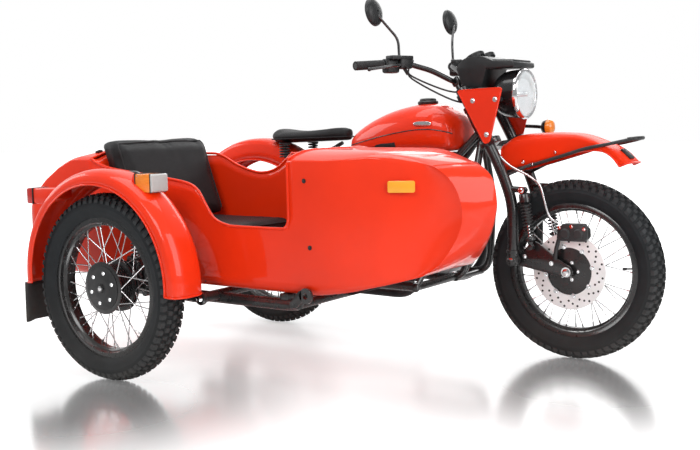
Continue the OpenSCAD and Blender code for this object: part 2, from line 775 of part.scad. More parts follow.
// The tub's closed outer form, drawn in by the given distance
module tub_form(inset) {
    intersection() {
        translate([0, tub_y + tub_w, 0]) rotate([90, 0, 0]) linear_extrude(2 * tub_w)
            offset(delta = -inset) polygon(tub_profile);
        translate([0, tub_y, 200]) linear_extrude(800) offset(delta = -inset) polygon(tub_plan);
        translate([tail_x - 50, tub_y, 0]) rotate([90, 0, 90]) linear_extrude(nose_x - tail_x + 100)
            offset(delta = -inset) polygon(tub_section);
        prow_flank(inset, 1);
        prow_flank(inset, -1);
    }
}

dash_x = nose_x - 635;
deck_x = tail_x + 429;
rim_lip = 24;
lid_front = tail_x + 238;
lid_hw = tub_w / 2 - 50;
lid_tail = tail_x + 40;

module lid_zone(grow) {
    translate([lid_tail - grow, tub_y - lid_hw - grow, 560])
        cube([lid_front - lid_tail + 2 * grow, 2 * (lid_hw + grow), 300]);
}

bulk_top = [deck_x + 4, 850];
bulk_foot = [deck_x + 140, 500];
bulk_lean = (bulk_foot[0] - bulk_top[0]) / (bulk_top[1] - bulk_foot[1]);

// Position of the bulkhead's front face at a given height
function bulk_x(z) = bulk_top[0] + (bulk_top[1] - z) * bulk_lean;

module bulkhead() {
    side_slab([[bulk_x(900) - tub_wall, 900], [bulk_x(900), 900], [bulk_x(500), 500], [bulk_x(500), 300],
               [bulk_x(500) - tub_wall, 300], [bulk_x(500) - tub_wall, 500]],
              tub_y - tub_w, tub_y + tub_w);
}

module sidecar_tub() {
    color(paint) place() {
        difference() {
            tub_form(0);
            difference() {
                tub_form(tub_wall);
                bulkhead();
            }
            side_slab([[deck_x, 900], [deck_x, 843], [deck_x + 151, 757], [deck_x + 321, 738], [deck_x + 461, 722],
                       [deck_x + 547, 700], [deck_x + 594, 646], [deck_x + 621, 607], [deck_x + 667, 575],
                       [deck_x + 733, 565], [dash_x - 10, 565], [dash_x, 900]], tub_out - 20, tub_y);
            side_slab([[deck_x, 900], [deck_x, 843], [deck_x + 184, 830], [deck_x + 271, 752], [deck_x + 391, 720],
                       [deck_x + 471, 742], [deck_x + 552, 800], [dash_x, 815], [dash_x, 900]],
                      tub_y - 1, tub_y + tub_w / 2 + 20);
            side_slab([[bulk_x(900), 900], [bulk_x(600), 600], [dash_x, 600], [dash_x, 900]],
                      tub_out + rim_lip, tub_out + tub_w - rim_lip);
            lid_zone(lid_gap);
        }
        at_hinges() hinge_lugs();
        intersection() {
            tub_form(tub_wall - 1);
            side_slab([[bulk_x(500) - 2, pan_z - 6], [bulk_x(500) - 2, pan_z], [460, pan_z], [460, tub_low],
                       [454, tub_low], [454, pan_z - 6]], tub_out, tub_out + tub_w);
        }
    }
}

hinge_x = lid_front + lid_gap / 2;
hinge_z = 779;
hinge_r = 8;
pin_r = 4;

// Places of the lid's two hinges
module at_hinges() {
    for (s = [-1, 1]) translate([hinge_x, tub_y + s * 130, hinge_z]) children();
}

// Fixed half of a hinge: two lugs on the deck with a pin between them
module hinge_lugs() {
    for (s = [-1, 1]) translate([0, s * 19, 0]) {
        cross_bar(0, 0, -4, 4, hinge_r);
        side_slab([[-2, 0], [hinge_r, 0], [hinge_r + 26, 4], [hinge_r + 26, -3], [hinge_r, -14], [5, -14]], -4, 4);
    }
    cross_bar(0, 0, -20, 20, pin_r);
}

module hinge_barrel() {
    difference() {
        union() {
            cross_bar(0, 0, -14.5, 14.5, hinge_r);
            side_slab([[-2, hinge_r - 1], [-12, 2], [-40, -14], [-44, -34], [-38, -34], [-4, -12]], -14.5, 14.5);
        }
        cross_bar(0, 0, -30, 30, pin_r + running);
    }
}

module trunk_lid() {
    color(paint) place() {
        intersection() {
            difference() {
                tub_form(0);
                tub_form(tub_wall);
            }
            lid_zone(0);
        }
        at_hinges() hinge_barrel();
    }
}

pan_z = 446;
seat_top = 547;
seat_front = 470;
back_t = 115;
seat_side = 30;

module seat_cushion() {
    low = pan_z + seat_gap;
    color(black) place() translate([bulk_x(500) + 1, tub_out + seat_side, low])
        cube([seat_front - bulk_x(500) - 1, tub_w - 2 * seat_side, seat_top - low]);
}

module seat_back() {
    low = seat_top + 0.8;
    color(black) place() side_slab(
        [[bulk_x(868) + 1, 868], [bulk_x(866) + back_t, 866], [bulk_x(low) + back_t, low],
         [bulk_x(low) + 1, low]], tub_out + seat_side, tub_out + tub_w - seat_side);
}

module sidecar_fender() {
    w = side_fender_w / 2;
    r = side_fender_r;
    color(paint) place() translate([side_arch[0], side_y, side_arch[1]]) rotate([90, 0, 0])
        rotate([0, 0, -4]) rotate_extrude(angle = 188, $fn = 96)
            polygon([[r - 54, -w], [r - 22, -w], [r - 6, 10 - w], [r, 26 - w], [r, w - 26], [r - 6, w - 10],
                     [r - 22, w], [r - 54, w], [r - 54, w - sheet], [r - 22, w - sheet], [r - 9, w - 12],
                     [r - sheet, w - 28], [r - sheet, 28 - w], [r - 9, 12 - w], [r - 22, sheet - w],
                     [r - 54, sheet - w]]);
}

module mudflap() {
    x = side_arch[0] - side_fender_r;
    color(black) place() translate([x - 2, side_y - 66, 190]) cube([5, 132, side_arch[1] - 28.6 - 190]);
}

module sidecar_lamps() {
    color([0.9, 0.35, 0.05]) place() difference() {
        union() {
            translate([wheel_lead + 165, side_y - 40, 690]) cube([110, 80, 70]);
            translate([wheel_lead - 405, side_y - 40, 636]) cube([180, 80, 62]);
        }
        translate([side_arch[0], side_y, side_arch[1]]) rotate([90, 0, 0])
            cylinder(h = 200, r = side_fender_r + seat_gap, center = true, $fn = 96);
    }
}

front_tyre();
front_rim();
front_hub();
brake_disc();
rear_tyre();
rear_rim();
rear_hub();
sidecar_tyre();
sidecar_rim();
sidecar_hub();
front_fork();
leading_links();
front_shocks();
front_fender();
fender_guard();
headlamp();
headlamp_lens();
lamp_brackets();
instrument_pod();
handlebar();
hand_controls();
mirrors();
front_signal();
brake_caliper();
motorcycle_frame();
engine();
cylinders();
carburettors();
exhaust();
fuel_tank();
saddle();
saddle_springs();
rear_fender();
tail_lamp();
swingarm();
final_drive();
shock_absorbers();
footrests();
sidecar_frame();
sidecar_struts();
sidecar_swingarm();
sidecar_tub();
trunk_lid();
seat_cushion();
seat_back();
sidecar_fender();
mudflap();
sidecar_lamps();
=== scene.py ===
"""Looks of a sidecar motorcycle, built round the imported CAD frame. Metres in Blender, millimetres in the
builders below, which work in the motorcycle's own frame: origin on the ground under the rear axle."""
import math

import bpy
import bmesh
from mathutils import Matrix, Vector


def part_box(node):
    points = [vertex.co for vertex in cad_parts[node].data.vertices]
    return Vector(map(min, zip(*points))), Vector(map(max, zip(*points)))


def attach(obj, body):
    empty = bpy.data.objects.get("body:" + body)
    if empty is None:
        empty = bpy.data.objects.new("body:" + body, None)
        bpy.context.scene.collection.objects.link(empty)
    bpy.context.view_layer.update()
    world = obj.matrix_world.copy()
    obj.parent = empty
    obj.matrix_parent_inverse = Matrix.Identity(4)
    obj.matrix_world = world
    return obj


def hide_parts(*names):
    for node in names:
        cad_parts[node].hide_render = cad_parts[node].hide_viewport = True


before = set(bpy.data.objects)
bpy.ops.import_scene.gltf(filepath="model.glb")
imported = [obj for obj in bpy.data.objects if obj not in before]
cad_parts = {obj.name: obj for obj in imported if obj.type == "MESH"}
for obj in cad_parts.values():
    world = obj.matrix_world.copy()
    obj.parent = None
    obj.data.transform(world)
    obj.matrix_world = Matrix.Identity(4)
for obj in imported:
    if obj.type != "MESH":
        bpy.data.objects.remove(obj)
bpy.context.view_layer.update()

# The rear tyre's middle gives the motorcycle's own origin in the shared frame
rear_lo, rear_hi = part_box("rear_tyre")
ORIGIN = Vector(((rear_lo.x + rear_hi.x) / 2, (rear_lo.y + rear_hi.y) / 2, 0))


def P(x, y, z):
    """Millimetres in the motorcycle's frame to metres in the shared frame."""
    return Vector((x, y, z)) / 1000 + ORIGIN


def centre(node):
    """Middle of a CAD node in millimetres, in the motorcycle's frame."""
    lo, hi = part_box(node)
    return ((lo + hi) / 2 - ORIGIN) * 1000


# ---------------------------------------------------------------- materials

def material(name, colour, rough=0.5, metal=0.0, coat=0.0, vary=0.08, scale=40, bump=0.02, bump_scale=None,
             rough_vary=0.08, transmission=0.0, sheen=0.0, pattern="noise", stretch=(1, 1, 1), emit=None,
             dust=0.0, spec=0.5):
    """Principled material whose colour, roughness and bump come from object-space textures."""
    m = bpy.data.materials.new(name)
    m.use_nodes = True
    nt = m.node_tree
    n, link = nt.nodes, nt.links.new
    bsdf = n["Principled BSDF"]
    coords = n.new("ShaderNodeTexCoord")
    mapping = n.new("ShaderNodeMapping")
    mapping.inputs["Scale"].default_value = stretch
    link(coords.outputs["Object"], mapping.inputs["Vector"])

    def noise_tex(s, detail=4):
        t = n.new("ShaderNodeTexNoise")
        t.inputs["Scale"].default_value = s
        t.inputs["Detail"].default_value = detail
        link(mapping.outputs["Vector"], t.inputs["Vector"])
        return t.outputs["Fac"]

    # The colour drifts a little either side of its own shade
    ramp = n.new("ShaderNodeValToRGB")
    for e, place, level in zip(ramp.color_ramp.elements, (0.3, 0.7), (1 - vary, 1 + vary)):
        e.position = place
        e.color = (*(min(1, c * level) for c in colour), 1)
    link(noise_tex(scale), ramp.inputs["Fac"])
    shade = ramp.outputs["Color"]
    if dust:
        z = n.new("ShaderNodeSeparateXYZ")
        link(coords.outputs["Object"], z.inputs["Vector"])
        fade = n.new("ShaderNodeMapRange")
        fade.inputs["From Min"].default_value = 0.45
        fade.inputs["From Max"].default_value = 0.05
        fade.inputs["To Max"].default_value = dust
        link(z.outputs["Z"], fade.inputs["Value"])
        speck = n.new("ShaderNodeMath")
        speck.operation = "MULTIPLY"
        link(fade.outputs["Result"], speck.inputs[0])
        link(noise_tex(9, 6), speck.inputs[1])
        mix = n.new("ShaderNodeMix")
        mix.data_type = "RGBA"
        mix.inputs["B"].default_value = (0.25, 0.21, 0.17, 1)
        link(speck.outputs["Value"], mix.inputs["Factor"])
        link(shade, mix.inputs["A"])
        shade = mix.outputs["Result"]
    link(shade, bsdf.inputs["Base Color"])
    r = n.new("ShaderNodeMapRange")
    r.inputs["To Min"].default_value = max(0.0, rough - rough_vary)
    r.inputs["To Max"].default_value = min(1.0, rough + rough_vary)
    link(noise_tex(scale * 2.3, 6), r.inputs["Value"])
    link(r.outputs["Result"], bsdf.inputs["Roughness"])
    bs = bump_scale or scale * 12
    if pattern == "noise":
        height = noise_tex(bs, 3)
    elif pattern == "grain":
        v = n.new("ShaderNodeTexVoronoi")
        v.inputs["Scale"].default_value = bs
        link(mapping.outputs["Vector"], v.inputs["Vector"])
        height = v.outputs["Distance"]
    elif pattern == "ribs":
        w = n.new("ShaderNodeTexWave")
        w.inputs["Scale"].default_value = bs
        w.inputs["Distortion"].default_value = 0.2
        link(mapping.outputs["Vector"], w.inputs["Vector"])
        height = w.outputs["Fac"]
    if bump:
        b = n.new("ShaderNodeBump")
        b.inputs["Strength"].default_value = bump
        b.inputs["Distance"].default_value = 0.002
        link(height, b.inputs["Height"])
        link(b.outputs["Normal"], bsdf.inputs["Normal"])
    bsdf.inputs["Metallic"].default_value = metal
    bsdf.inputs["Coat Weight"].default_value = coat
    bsdf.inputs["Coat Roughness"].default_value = 0.04
    bsdf.inputs["Transmission Weight"].default_value = transmission
    bsdf.inputs["Sheen Weight"].default_value = sheen
    bsdf.inputs["Specular IOR Level"].default_value = spec
    bsdf.inputs["IOR"].default_value = 1.5
    if emit:
        bsdf.inputs["Emission Color"].default_value = (*emit[0], 1)
        bsdf.inputs["Emission Strength"].default_value = emit[1]
    return m


PAINT = material("orange_paint", (0.80, 0.030, 0.003), 0.45, coat=0.55, vary=0.05, scale=5, bump=0.012,
                 bump_scale=900,
                 rough_vary=0.05, spec=0.15)
FENDER_PAINT = material("orange_fender_paint", (0.80, 0.030, 0.003), 0.5, coat=0.10, vary=0.05, scale=5,
                        bump=0.012,
                        bump_scale=900, rough_vary=0.05, spec=0.12)
BLACK = material("black_enamel", (0.012, 0.012, 0.013), 0.28, coat=0.5, vary=0.25, scale=14, bump=0.03,
                 bump_scale=500,
                 dust=0.12)
SATIN = material("black_satin", (0.020, 0.020, 0.021), 0.45, vary=0.25, scale=25, bump=0.06, bump_scale=700)
RUBBER = material("tyre_rubber", (0.012, 0.014, 0.016), 0.62, vary=0.2, scale=16, bump=0.12, bump_scale=420,
                  dust=0.10,
                  spec=0.25)
TREAD = material("tread_rubber", (0.020, 0.022, 0.024), 0.70, vary=0.25, scale=30, bump=0.2, bump_scale=300,
                 dust=0.15,
                 spec=0.4)
STEEL = material("bright_steel", (0.72, 0.72, 0.73), 0.18, metal=1, vary=0.06, scale=30, bump=0.02)
CHROME = material("chrome", (0.83, 0.83, 0.84), 0.06, metal=1, vary=0.02, scale=20, bump=0.005,
                  rough_vary=0.03)
# Near white with little metal: the disc's light steel, brightened into a painted reflection that takes no red
# from its surroundings
DISC = material("disc_steel", (0.93, 0.93, 0.93), 0.36, metal=0.3, vary=0.08, scale=12, bump=0.05,
                bump_scale=900)
ALLOY = material("cast_alloy", (0.42, 0.42, 0.43), 0.42, metal=0.85, vary=0.12, scale=22, bump=0.16,
                 bump_scale=420)
PIPE = material("black_exhaust", (0.016, 0.016, 0.017), 0.36, metal=0.3, vary=0.3, scale=20, bump=0.05)
PLASTIC = material("black_plastic", (0.017, 0.018, 0.019), 0.42, vary=0.15, scale=35, bump=0.10,
                   bump_scale=900,
                   pattern="grain", spec=0.35)
GRIP = material("grip_rubber", (0.014, 0.014, 0.015), 0.7, vary=0.2, scale=60, bump=0.3, bump_scale=700,
                pattern="grain")
VINYL = material("black_vinyl", (0.011, 0.011, 0.012), 0.50, vary=0.16, scale=18, bump=0.35, bump_scale=520,
                 pattern="grain", spec=0.22)
CARPET = material("dark_liner", (0.020, 0.019, 0.020), 0.9, vary=0.3, scale=70, bump=0.5, bump_scale=900,
                  sheen=0.3)
FLAP = material("flap_rubber", (0.018, 0.018, 0.019), 0.66, vary=0.2, scale=30, bump=0.2, bump_scale=300,
                dust=0.3)
AMBER = material("amber_lens", (0.93, 0.26, 0.02), 0.12, coat=0.6, vary=0.10, scale=60, bump=0.25,
                 bump_scale=55,
                 pattern="ribs", stretch=(1, 1, 3), transmission=0.25, emit=((1.0, 0.30, 0.02), 0.12))
RED = material("red_lens", (0.50, 0.012, 0.008), 0.12, coat=0.6, vary=0.10, scale=60, bump=0.25,
               bump_scale=55,
               pattern="ribs", stretch=(1, 1, 3), transmission=0.2, emit=((0.8, 0.02, 0.01), 0.08))
CLEAR = material("clear_lens", (0.80, 0.80, 0.78), 0.08, coat=0.6, vary=0.05, scale=50, bump=0.25,
                 bump_scale=60,
                 pattern="ribs", transmission=0.4)
# Faint white glow on the glass: a painted highlight that brightens the headlamp glass and the dial faces
GLASS = material("lamp_glass", (0.92, 0.95, 0.96), 0.04, vary=0.03, scale=30, bump=0.06, bump_scale=24,
                 pattern="ribs",
                 stretch=(0.2, 1, 1), transmission=0.85, emit=((1, 1, 1), 0.05))
MIRROR = material("mirror_face", (0.86, 0.88, 0.90), 0.03, metal=1, vary=0.02, scale=10, bump=0.0,
                  rough_vary=0.02)
PLATE = material("plain_plate", (0.86, 0.36, 0.015), 0.35, coat=0.3, vary=0.03, scale=60, bump=0.03)
# Near black for the brake disc's drilled holes: painted shade where one would look through them
HOLE_SHADE = material("painted_hole_shade", (0.008, 0.008, 0.008), 0.8, vary=0.2, scale=30, bump=0.05)

# Colour slot of each material, which make() works out for its pieces unless told otherwise but does not keep;
# the painted shade in the disc's holes has none
SLOTS = {"paint": (PAINT, FENDER_PAINT, PLATE), "frame_black": (BLACK, SATIN), "tyre": (RUBBER, TREAD),
         "bright_steel": (STEEL, CHROME, MIRROR), "disc_steel": (DISC,), "engine_alloy": (ALLOY,),
         "exhaust_black": (PIPE,), "black_plastic": (PLASTIC, CARPET), "grip_rubber": (GRIP,),
         "seat_vinyl": (VINYL,), "flap_rubber": (FLAP,), "amber_lens": (AMBER,), "red_lens": (RED,),
         "lamp_glass": (CLEAR, GLASS)}
SLOT_OF = {mat.name: slot for slot, mats in SLOTS.items() for mat in mats}

# ---------------------------------------------------------------- geometry in millimetres

def circle(n):
    """Angles of n even steps round a circle."""
    return [2 * math.pi * i / n for i in range(n)]


def turned(degrees, axis):
    return Matrix.Rotation(math.radians(degrees), 3, axis)


class Geo:
    """A mesh being put together in the motorcycle's millimetres."""

    def __init__(self):
        self.v, self.f = [], []

    def add(self, verts, faces):
        k = len(self.v)
        self.v += [Vector(p) for p in verts]
        self.f += [tuple(i + k for i in face) for face in faces]
        return self

    def grid(self, rows, close_u=False, close_v=False, flip=False):
        """Quads over rows of points; close_u joins each row's ends, close_v the last row and the first."""
        n, m = len(rows), len(rows[0])
        faces = []
        for i in range(n if close_v else n - 1):
            for j in range(m if close_u else m - 1):
                a, b = i * m + j, i * m + (j + 1) % m
                c, d = ((i + 1) % n) * m + (j + 1) % m, ((i + 1) % n) * m + j
                faces.append((a, d, c, b) if flip else (a, b, c, d))
        return self.add([p for r in rows for p in r], faces)

    def cap(self, rows):
        """Faces over the first and the last of the rows that were added just before."""
        n = len(rows[0])
        k = len(self.v) - len(rows) * n
        self.f.append(tuple(k + j for j in reversed(range(n))))
        self.f.append(tuple(k + (len(rows) - 1) * n + j for j in range(n)))
        return self

    def lathe(self, profile, at=(0, 0, 0), axis=(0, 1, 0), n=64):
        """Turns a closed outline of (radius, distance along the axis) points about an axis through at."""
        a = Vector(axis).normalized()
        u = a.orthogonal().normalized() if abs(a.z) > 0.9 else Vector((0, 0, 1)).cross(a).normalized()
        w = a.cross(u)
        rows = []
        for t in circle(n):
            d = u * math.cos(t) + w * math.sin(t)
            rows.append([Vector(at) + d * r + a * h for r, h in profile])
        return self.grid(rows, close_u=True, close_v=True, flip=True)

    def tube(self, points, r, n=12, bend=25, caps=True):
        """Round tube along a path whose corners are rounded off."""
        pts = rounded(points, bend)
        rows, side = [], None
        for i, p in enumerate(pts):
            d = (pts[min(i + 1, len(pts) - 1)] - pts[max(i - 1, 0)]).normalized()
            side = d.orthogonal() if side is None else side - d * side.dot(d)
            side.normalize()
            w = d.cross(side)
            rows.append([p + (side * math.cos(t) + w * math.sin(t)) * r for t in circle(n)])
        self.grid(rows, close_u=True)
        return self.cap(rows) if caps else self

    def box(self, at, size, bevel=2.0, turn=(0, 0, 0)):
        """Box with rounded edges about its middle, turned by degrees about X, Y and Z."""
        bm = bmesh.new()
        bmesh.ops.create_cube(bm, size=1)
        for v in bm.verts:
            v.co = Vector((v.co.x * size[0], v.co.y * size[1], v.co.z * size[2]))
        bmesh.ops.bevel(bm, geom=bm.edges[:], offset=bevel, segments=2, affect="EDGES", profile=0.5)
        rot = turned(turn[2], "Z") @ turned(turn[1], "Y") @ turned(turn[0], "X")
        return self.take(bm, rot, Vector(at))

    def slab(self, outline, y0, y1, bevel=2.0, axis="y", at=(0, 0, 0), turn=None):
        """Outline in X and Z (or X and Y for axis z), extruded between two values along the axis."""
        bm = bmesh.new()
        flat = (lambda p, h: (p[0], h, p[1])) if axis == "y" else (lambda p, h: (p[0], p[1], h))
        face = bm.faces.new([bm.verts.new(flat(p, y0)) for p in outline])
        out = bmesh.ops.extrude_face_region(bm, geom=[face])
        shift = Vector(flat((0, 0), y1 - y0))
        for v in (g for g in out["geom"] if isinstance(g, bmesh.types.BMVert)):
            v.co += shift
        bmesh.ops.recalc_face_normals(bm, faces=bm.faces[:])
        if bevel:
            sharp = [e for e in bm.edges if len(e.link_faces) == 2 and e.calc_face_angle(0) > 0.45]
            bmesh.ops.bevel(bm, geom=sharp, offset=bevel, segments=2, affect="EDGES", profile=0.5,
                            clamp_overlap=True)
        return self.take(bm, turn or Matrix.Identity(3), Vector(at))

    def take(self, bm, rot, shift):
        """Adds what a bmesh holds, turned and moved."""
        bm.verts.ensure_lookup_table()
        for i, v in enumerate(bm.verts):
            v.index = i
        self.add([rot @ v.co + shift for v in bm.verts], [[v.index for v in f.verts] for f in bm.faces])
        bm.free()
        return self

    def ball(self, at, radii, n=24, m=14, squash=1.0):
        """Ellipsoid; squash below 1 makes it boxier."""
        rows = []
        for i in range(m + 1):
            b = -math.pi / 2 + math.pi * i / m
            out, up = power(math.cos(b), squash), power(math.sin(b), squash)
            rows.append([Vector(at) + Vector((radii[0] * out * power(math.cos(t), squash),
                                              radii[1] * out * power(math.sin(t), squash), radii[2] * up))
                         for t in circle(n)])
        return self.grid(rows, close_u=True)

    def bolt(self, at, axis, r=6, h=5, sides=6, washer=True):
        """Hex head on a washer, its base at a point."""
        a = Vector(axis).normalized()
        if washer:
            self.lathe([(0, 0), (r * 1.45, 0), (r * 1.45, 1.2), (0, 1.2)], at, a, n=16)
        return self.lathe([(0, 1), (r, 1), (r, h), (r * 0.85, h + 0.8), (0, h + 0.8)], at, a, n=sides)

    def make(self, name, mat, body="chassis", slot=None, replaces=(), sharp=35, solid=0, offset=-1,
             weld=0.02):
        """Turns the points into an object that rides on a CAD body."""
        me = bpy.data.meshes.new(name)
        me.from_pydata([P(*p) for p in self.v], [], self.f)
        bm = bmesh.new()
        bm.from_mesh(me)
        bmesh.ops.remove_doubles(bm, verts=bm.verts[:], dist=weld / 1000)
        bmesh.ops.dissolve_degenerate(bm, edges=bm.edges[:], dist=1e-6)
        bmesh.ops.recalc_face_normals(bm, faces=bm.faces[:])
        bm.to_mesh(me)
        bm.free()
        me.polygons.foreach_set("use_smooth", [True] * len(me.polygons))
        me.set_sharp_from_angle(angle=math.radians(sharp))
        o = bpy.data.objects.new(name, me)
        bpy.context.scene.collection.objects.link(o)
        me.materials.append(mat)
        if solid:
            mod = o.modifiers.new("thickness", "SOLIDIFY")
            mod.thickness, mod.offset = solid / 1000, offset
        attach(o, body)
        slot = SLOT_OF.get(mat.name) if slot is None else slot
        if replaces:
            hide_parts(*replaces)
        return o


def power(c, e):
    """Signed power: rounds a circle's cosines and sines towards a box."""
    return math.copysign(abs(c) ** e, c)


def rounded(points, reach, steps=6):
    """Path with each corner replaced by a short curve that starts the given distance before it."""
    pts = [Vector(p) for p in points]
    if len(pts) < 3 or reach <= 0:
        return pts
    out = [pts[0]]
    for a, b, c in zip(pts, pts[1:], pts[2:]):
        ra = min(reach, (b - a).length * 0.48)
        rc = min(reach, (c - b).length * 0.48)
        p, q = b + (a - b).normalized() * ra, b + (c - b).normalized() * rc
        out += [p * (1 - t) ** 2 + b * 2 * t * (1 - t) + q * t * t
                for t in (i / steps for i in range(steps + 1))]
    out.append(pts[-1])
    return out


def spline(points, steps=8, closed=False):
    """Smooth curve through the points."""
    pts = [Vector(p) for p in points]
    n = len(pts)
    out = []
    for i in range(n if closed else n - 1):
        p0 = pts[(i - 1) % n] if closed or i > 0 else pts[0] * 2 - pts[1]
        p1, p2 = pts[i], pts[(i + 1) % n]
        p3 = pts[(i + 2) % n] if closed or i + 2 < n else pts[-1] * 2 - pts[-2]
        for k in range(steps):
            t = k / steps
            out.append(0.5 * (2 * p1 + (p2 - p0) * t + (2 * p0 - 5 * p1 + 4 * p2 - p3) * t * t
                              + (3 * p1 - p0 - 3 * p2 + p3) * t ** 3))
    if not closed:
        out.append(pts[-1])
    return out


def both(fn):
    """Runs a builder for the left side and for the right side."""
    for s in (1, -1):
        fn(s)


def coil(top, foot, r, wire, turns, g, n=8):
    """Helical spring between two points."""
    a, b = Vector(top), Vector(foot)
    d = (b - a).normalized()
    u = d.orthogonal().normalized()
    w = d.cross(u)
    steps = int(turns * 16)
    g.tube([a + (b - a) * (i / steps) + (u * math.cos(2 * math.pi * turns * i / steps)
                                         + w * math.sin(2 * math.pi * turns * i / steps)) * r
            for i in range(steps + 1)], wire, n=n, bend=0)

# ---------------------------------------------------------------- camera, light and floor

def set_stage():
    scene = bpy.context.scene
    cam = bpy.data.objects.new("camera", bpy.data.cameras.new("camera"))
    scene.collection.objects.link(cam)
    # Radians, fitted to where the wheels stand in the photo
    az, pitch, roll = 0.61643, 0.10172, -0.02182
    d = Vector((-math.sin(az) * math.cos(pitch), math.cos(az) * math.cos(pitch), -math.sin(pitch)))
    r = Vector((math.cos(az), math.sin(az), 0))
    u = r.cross(d)
    c, s = math.cos(roll), math.sin(roll)
    right, up = r * c + u * s, u * c - r * s
    place = P(2988.95, -3623.67, 922.26)
    cam.matrix_world = Matrix(((right.x, up.x, -d.x, place.x), (right.y, up.y, -d.y, place.y),
                               (right.z, up.z, -d.z, place.z), (0, 0, 0, 1)))
    cam.data.lens, cam.data.sensor_width = 52.29, 36
    cam.data.clip_start, cam.data.clip_end = 0.1, 200
    scene.camera = cam
    scene.view_settings.view_transform = "Standard"

    world = bpy.data.worlds.new("studio")
    scene.world = world
    world.use_nodes = True
    nt = world.node_tree
    n, link = nt.nodes, nt.links.new
    path = n.new("ShaderNodeLightPath")
    # The white backdrop behind the vehicle shows in mirror rays; the rest of the room is dimmer
    way = n.new("ShaderNodeTexCoord")
    back = n.new("ShaderNodeVectorMath")
    back.operation = "DOT_PRODUCT"
    back.inputs[1].default_value = (-math.sin(az), math.cos(az), 0)
    link(way.outputs["Generated"], back.inputs[0])
    wall = n.new("ShaderNodeMapRange")
    wall.inputs["From Min"].default_value, wall.inputs["From Max"].default_value = 0.45, 0.8
    link(back.outputs["Value"], wall.inputs["Value"])
    shiny = n.new("ShaderNodeMath")
    shiny.operation = "MULTIPLY"
    link(wall.outputs["Result"], shiny.inputs[0])
    link(path.outputs["Is Glossy Ray"], shiny.inputs[1])
    seen = n.new("ShaderNodeMath")
    seen.operation = "MAXIMUM"
    link(path.outputs["Is Camera Ray"], seen.inputs[0])
    link(path.outputs["Is Transmission Ray"], seen.inputs[1])
    most = n.new("ShaderNodeMath")
    most.operation = "MAXIMUM"
    link(seen.outputs["Value"], most.inputs[0])
    link(shiny.outputs["Value"], most.inputs[1])
    level = n.new("ShaderNodeMapRange")
    level.inputs["To Min"].default_value = 0.36
    level.inputs["To Max"].default_value = 1.0
    link(most.outputs["Value"], level.inputs["Value"])
    link(level.outputs["Result"], n["Background"].inputs["Strength"])
    n["Background"].inputs["Color"].default_value = (1, 1, 1, 1)

    def soft_box(name, at, aim, size, power):
        light = bpy.data.lights.new(name, "AREA")
        light.shape, light.size, light.size_y, light.energy = "RECTANGLE", size[0], size[1], power
        o = bpy.data.objects.new(name, light)
        scene.collection.objects.link(o)
        o.location = at
        o.rotation_euler = (Vector(aim) - Vector(at)).to_track_quat("-Z", "Y").to_euler()

    soft_box("key", (1.2, -5.2, 4.2), (0, 0, 0.5), (3.6, 2.4), 165)
    soft_box("top", (-0.6, 0.2, 4.6), (0, 0, 0.4), (4.5, 3.0), 120)
    soft_box("fill", P(6286, -965, 2900), P(1436, -680, 690), (3.4, 4.6), 205)
    soft_box("left", (-1.0, 5.0, 3.2), (0, 0, 0.5), (3.6, 2.4), 90)
    soft_box("rear", (-5.2, -1.2, 2.6), (0, 0, 0.5), (2.6, 2.6), 75)

    floor = bpy.data.materials.new("pale_floor")
    floor.use_nodes = True
    nt = floor.node_tree
    n, link = nt.nodes, nt.links.new
    bsdf, out = n["Principled BSDF"], n["Material Output"]
    bsdf.inputs["Base Color"].default_value = (0.78, 0.78, 0.78, 1)
    bsdf.inputs["Roughness"].default_value = 0.35
    here = n.new("ShaderNodeNewGeometry")

    def reach(at, near, far, low, high):
        """Value that runs from low to high between two distances from a place on the floor."""
        d = n.new("ShaderNodeVectorMath")
        d.operation = "DISTANCE"
        link(here.outputs["Position"], d.inputs[0])
        d.inputs[1].default_value = at
        m = n.new("ShaderNodeMapRange")
        m.interpolation_type = "SMOOTHSTEP"
        m.inputs["From Min"].default_value, m.inputs["From Max"].default_value = near, far
        m.inputs["To Min"].default_value, m.inputs["To Max"].default_value = low, high
        link(d.outputs["Value"], m.inputs["Value"])
        return m.outputs["Result"]

    glow = n.new("ShaderNodeEmission")
    glow.inputs["Color"].default_value = (1, 1, 1, 1)
    path = n.new("ShaderNodeLightPath")
    lift = n.new("ShaderNodeMath")
    lift.operation = "MULTIPLY"
    link(path.outputs["Is Camera Ray"], lift.inputs[0])
    link(reach((0, 0, 0), 1.5, 5.0, 0.50, 0.95), lift.inputs[1])
    link(lift.outputs["Value"], glow.inputs["Strength"])
    add = n.new("ShaderNodeAddShader")
    link(bsdf.outputs["BSDF"], add.inputs[0])
    link(glow.outputs["Emission"], add.inputs[1])
    # Polished patches in front of the two near wheels, fading outwards
    shine = n.new("ShaderNodeBsdfAnisotropic")
    shine.inputs["Color"].default_value = (0.97, 0.97, 0.97, 1)
    shine.inputs["Roughness"].default_value = 0.16
    patch = n.new("ShaderNodeMath")
    patch.operation = "MAXIMUM"
    toward = Vector((math.sin(az), -math.cos(az), 0))
    for k, spot in enumerate((P(1470, 0, 0), P(163, -1147, 0))):
        link(reach(Vector((spot.x, spot.y, 0)) + toward * 0.34, 0.12, 1.0, 0.86, 0.0), patch.inputs[k])
    mirror = n.new("ShaderNodeMixShader")
    link(patch.outputs["Value"], mirror.inputs["Fac"])
    link(add.outputs["Shader"], mirror.inputs[1])
    link(shine.outputs["BSDF"], mirror.inputs[2])
    link(mirror.outputs["Shader"], out.inputs["Surface"])
    me = bpy.data.meshes.new("floor")
    me.from_pydata([(-30, -30, -0.001), (30, -30, -0.001), (30, 30, -0.001), (-30, 30, -0.001)], [],
                   [(0, 1, 2, 3)])
    o = bpy.data.objects.new("floor", me)
    scene.collection.objects.link(o)
    me.materials.append(floor)


# ---------------------------------------------------------------- wheels

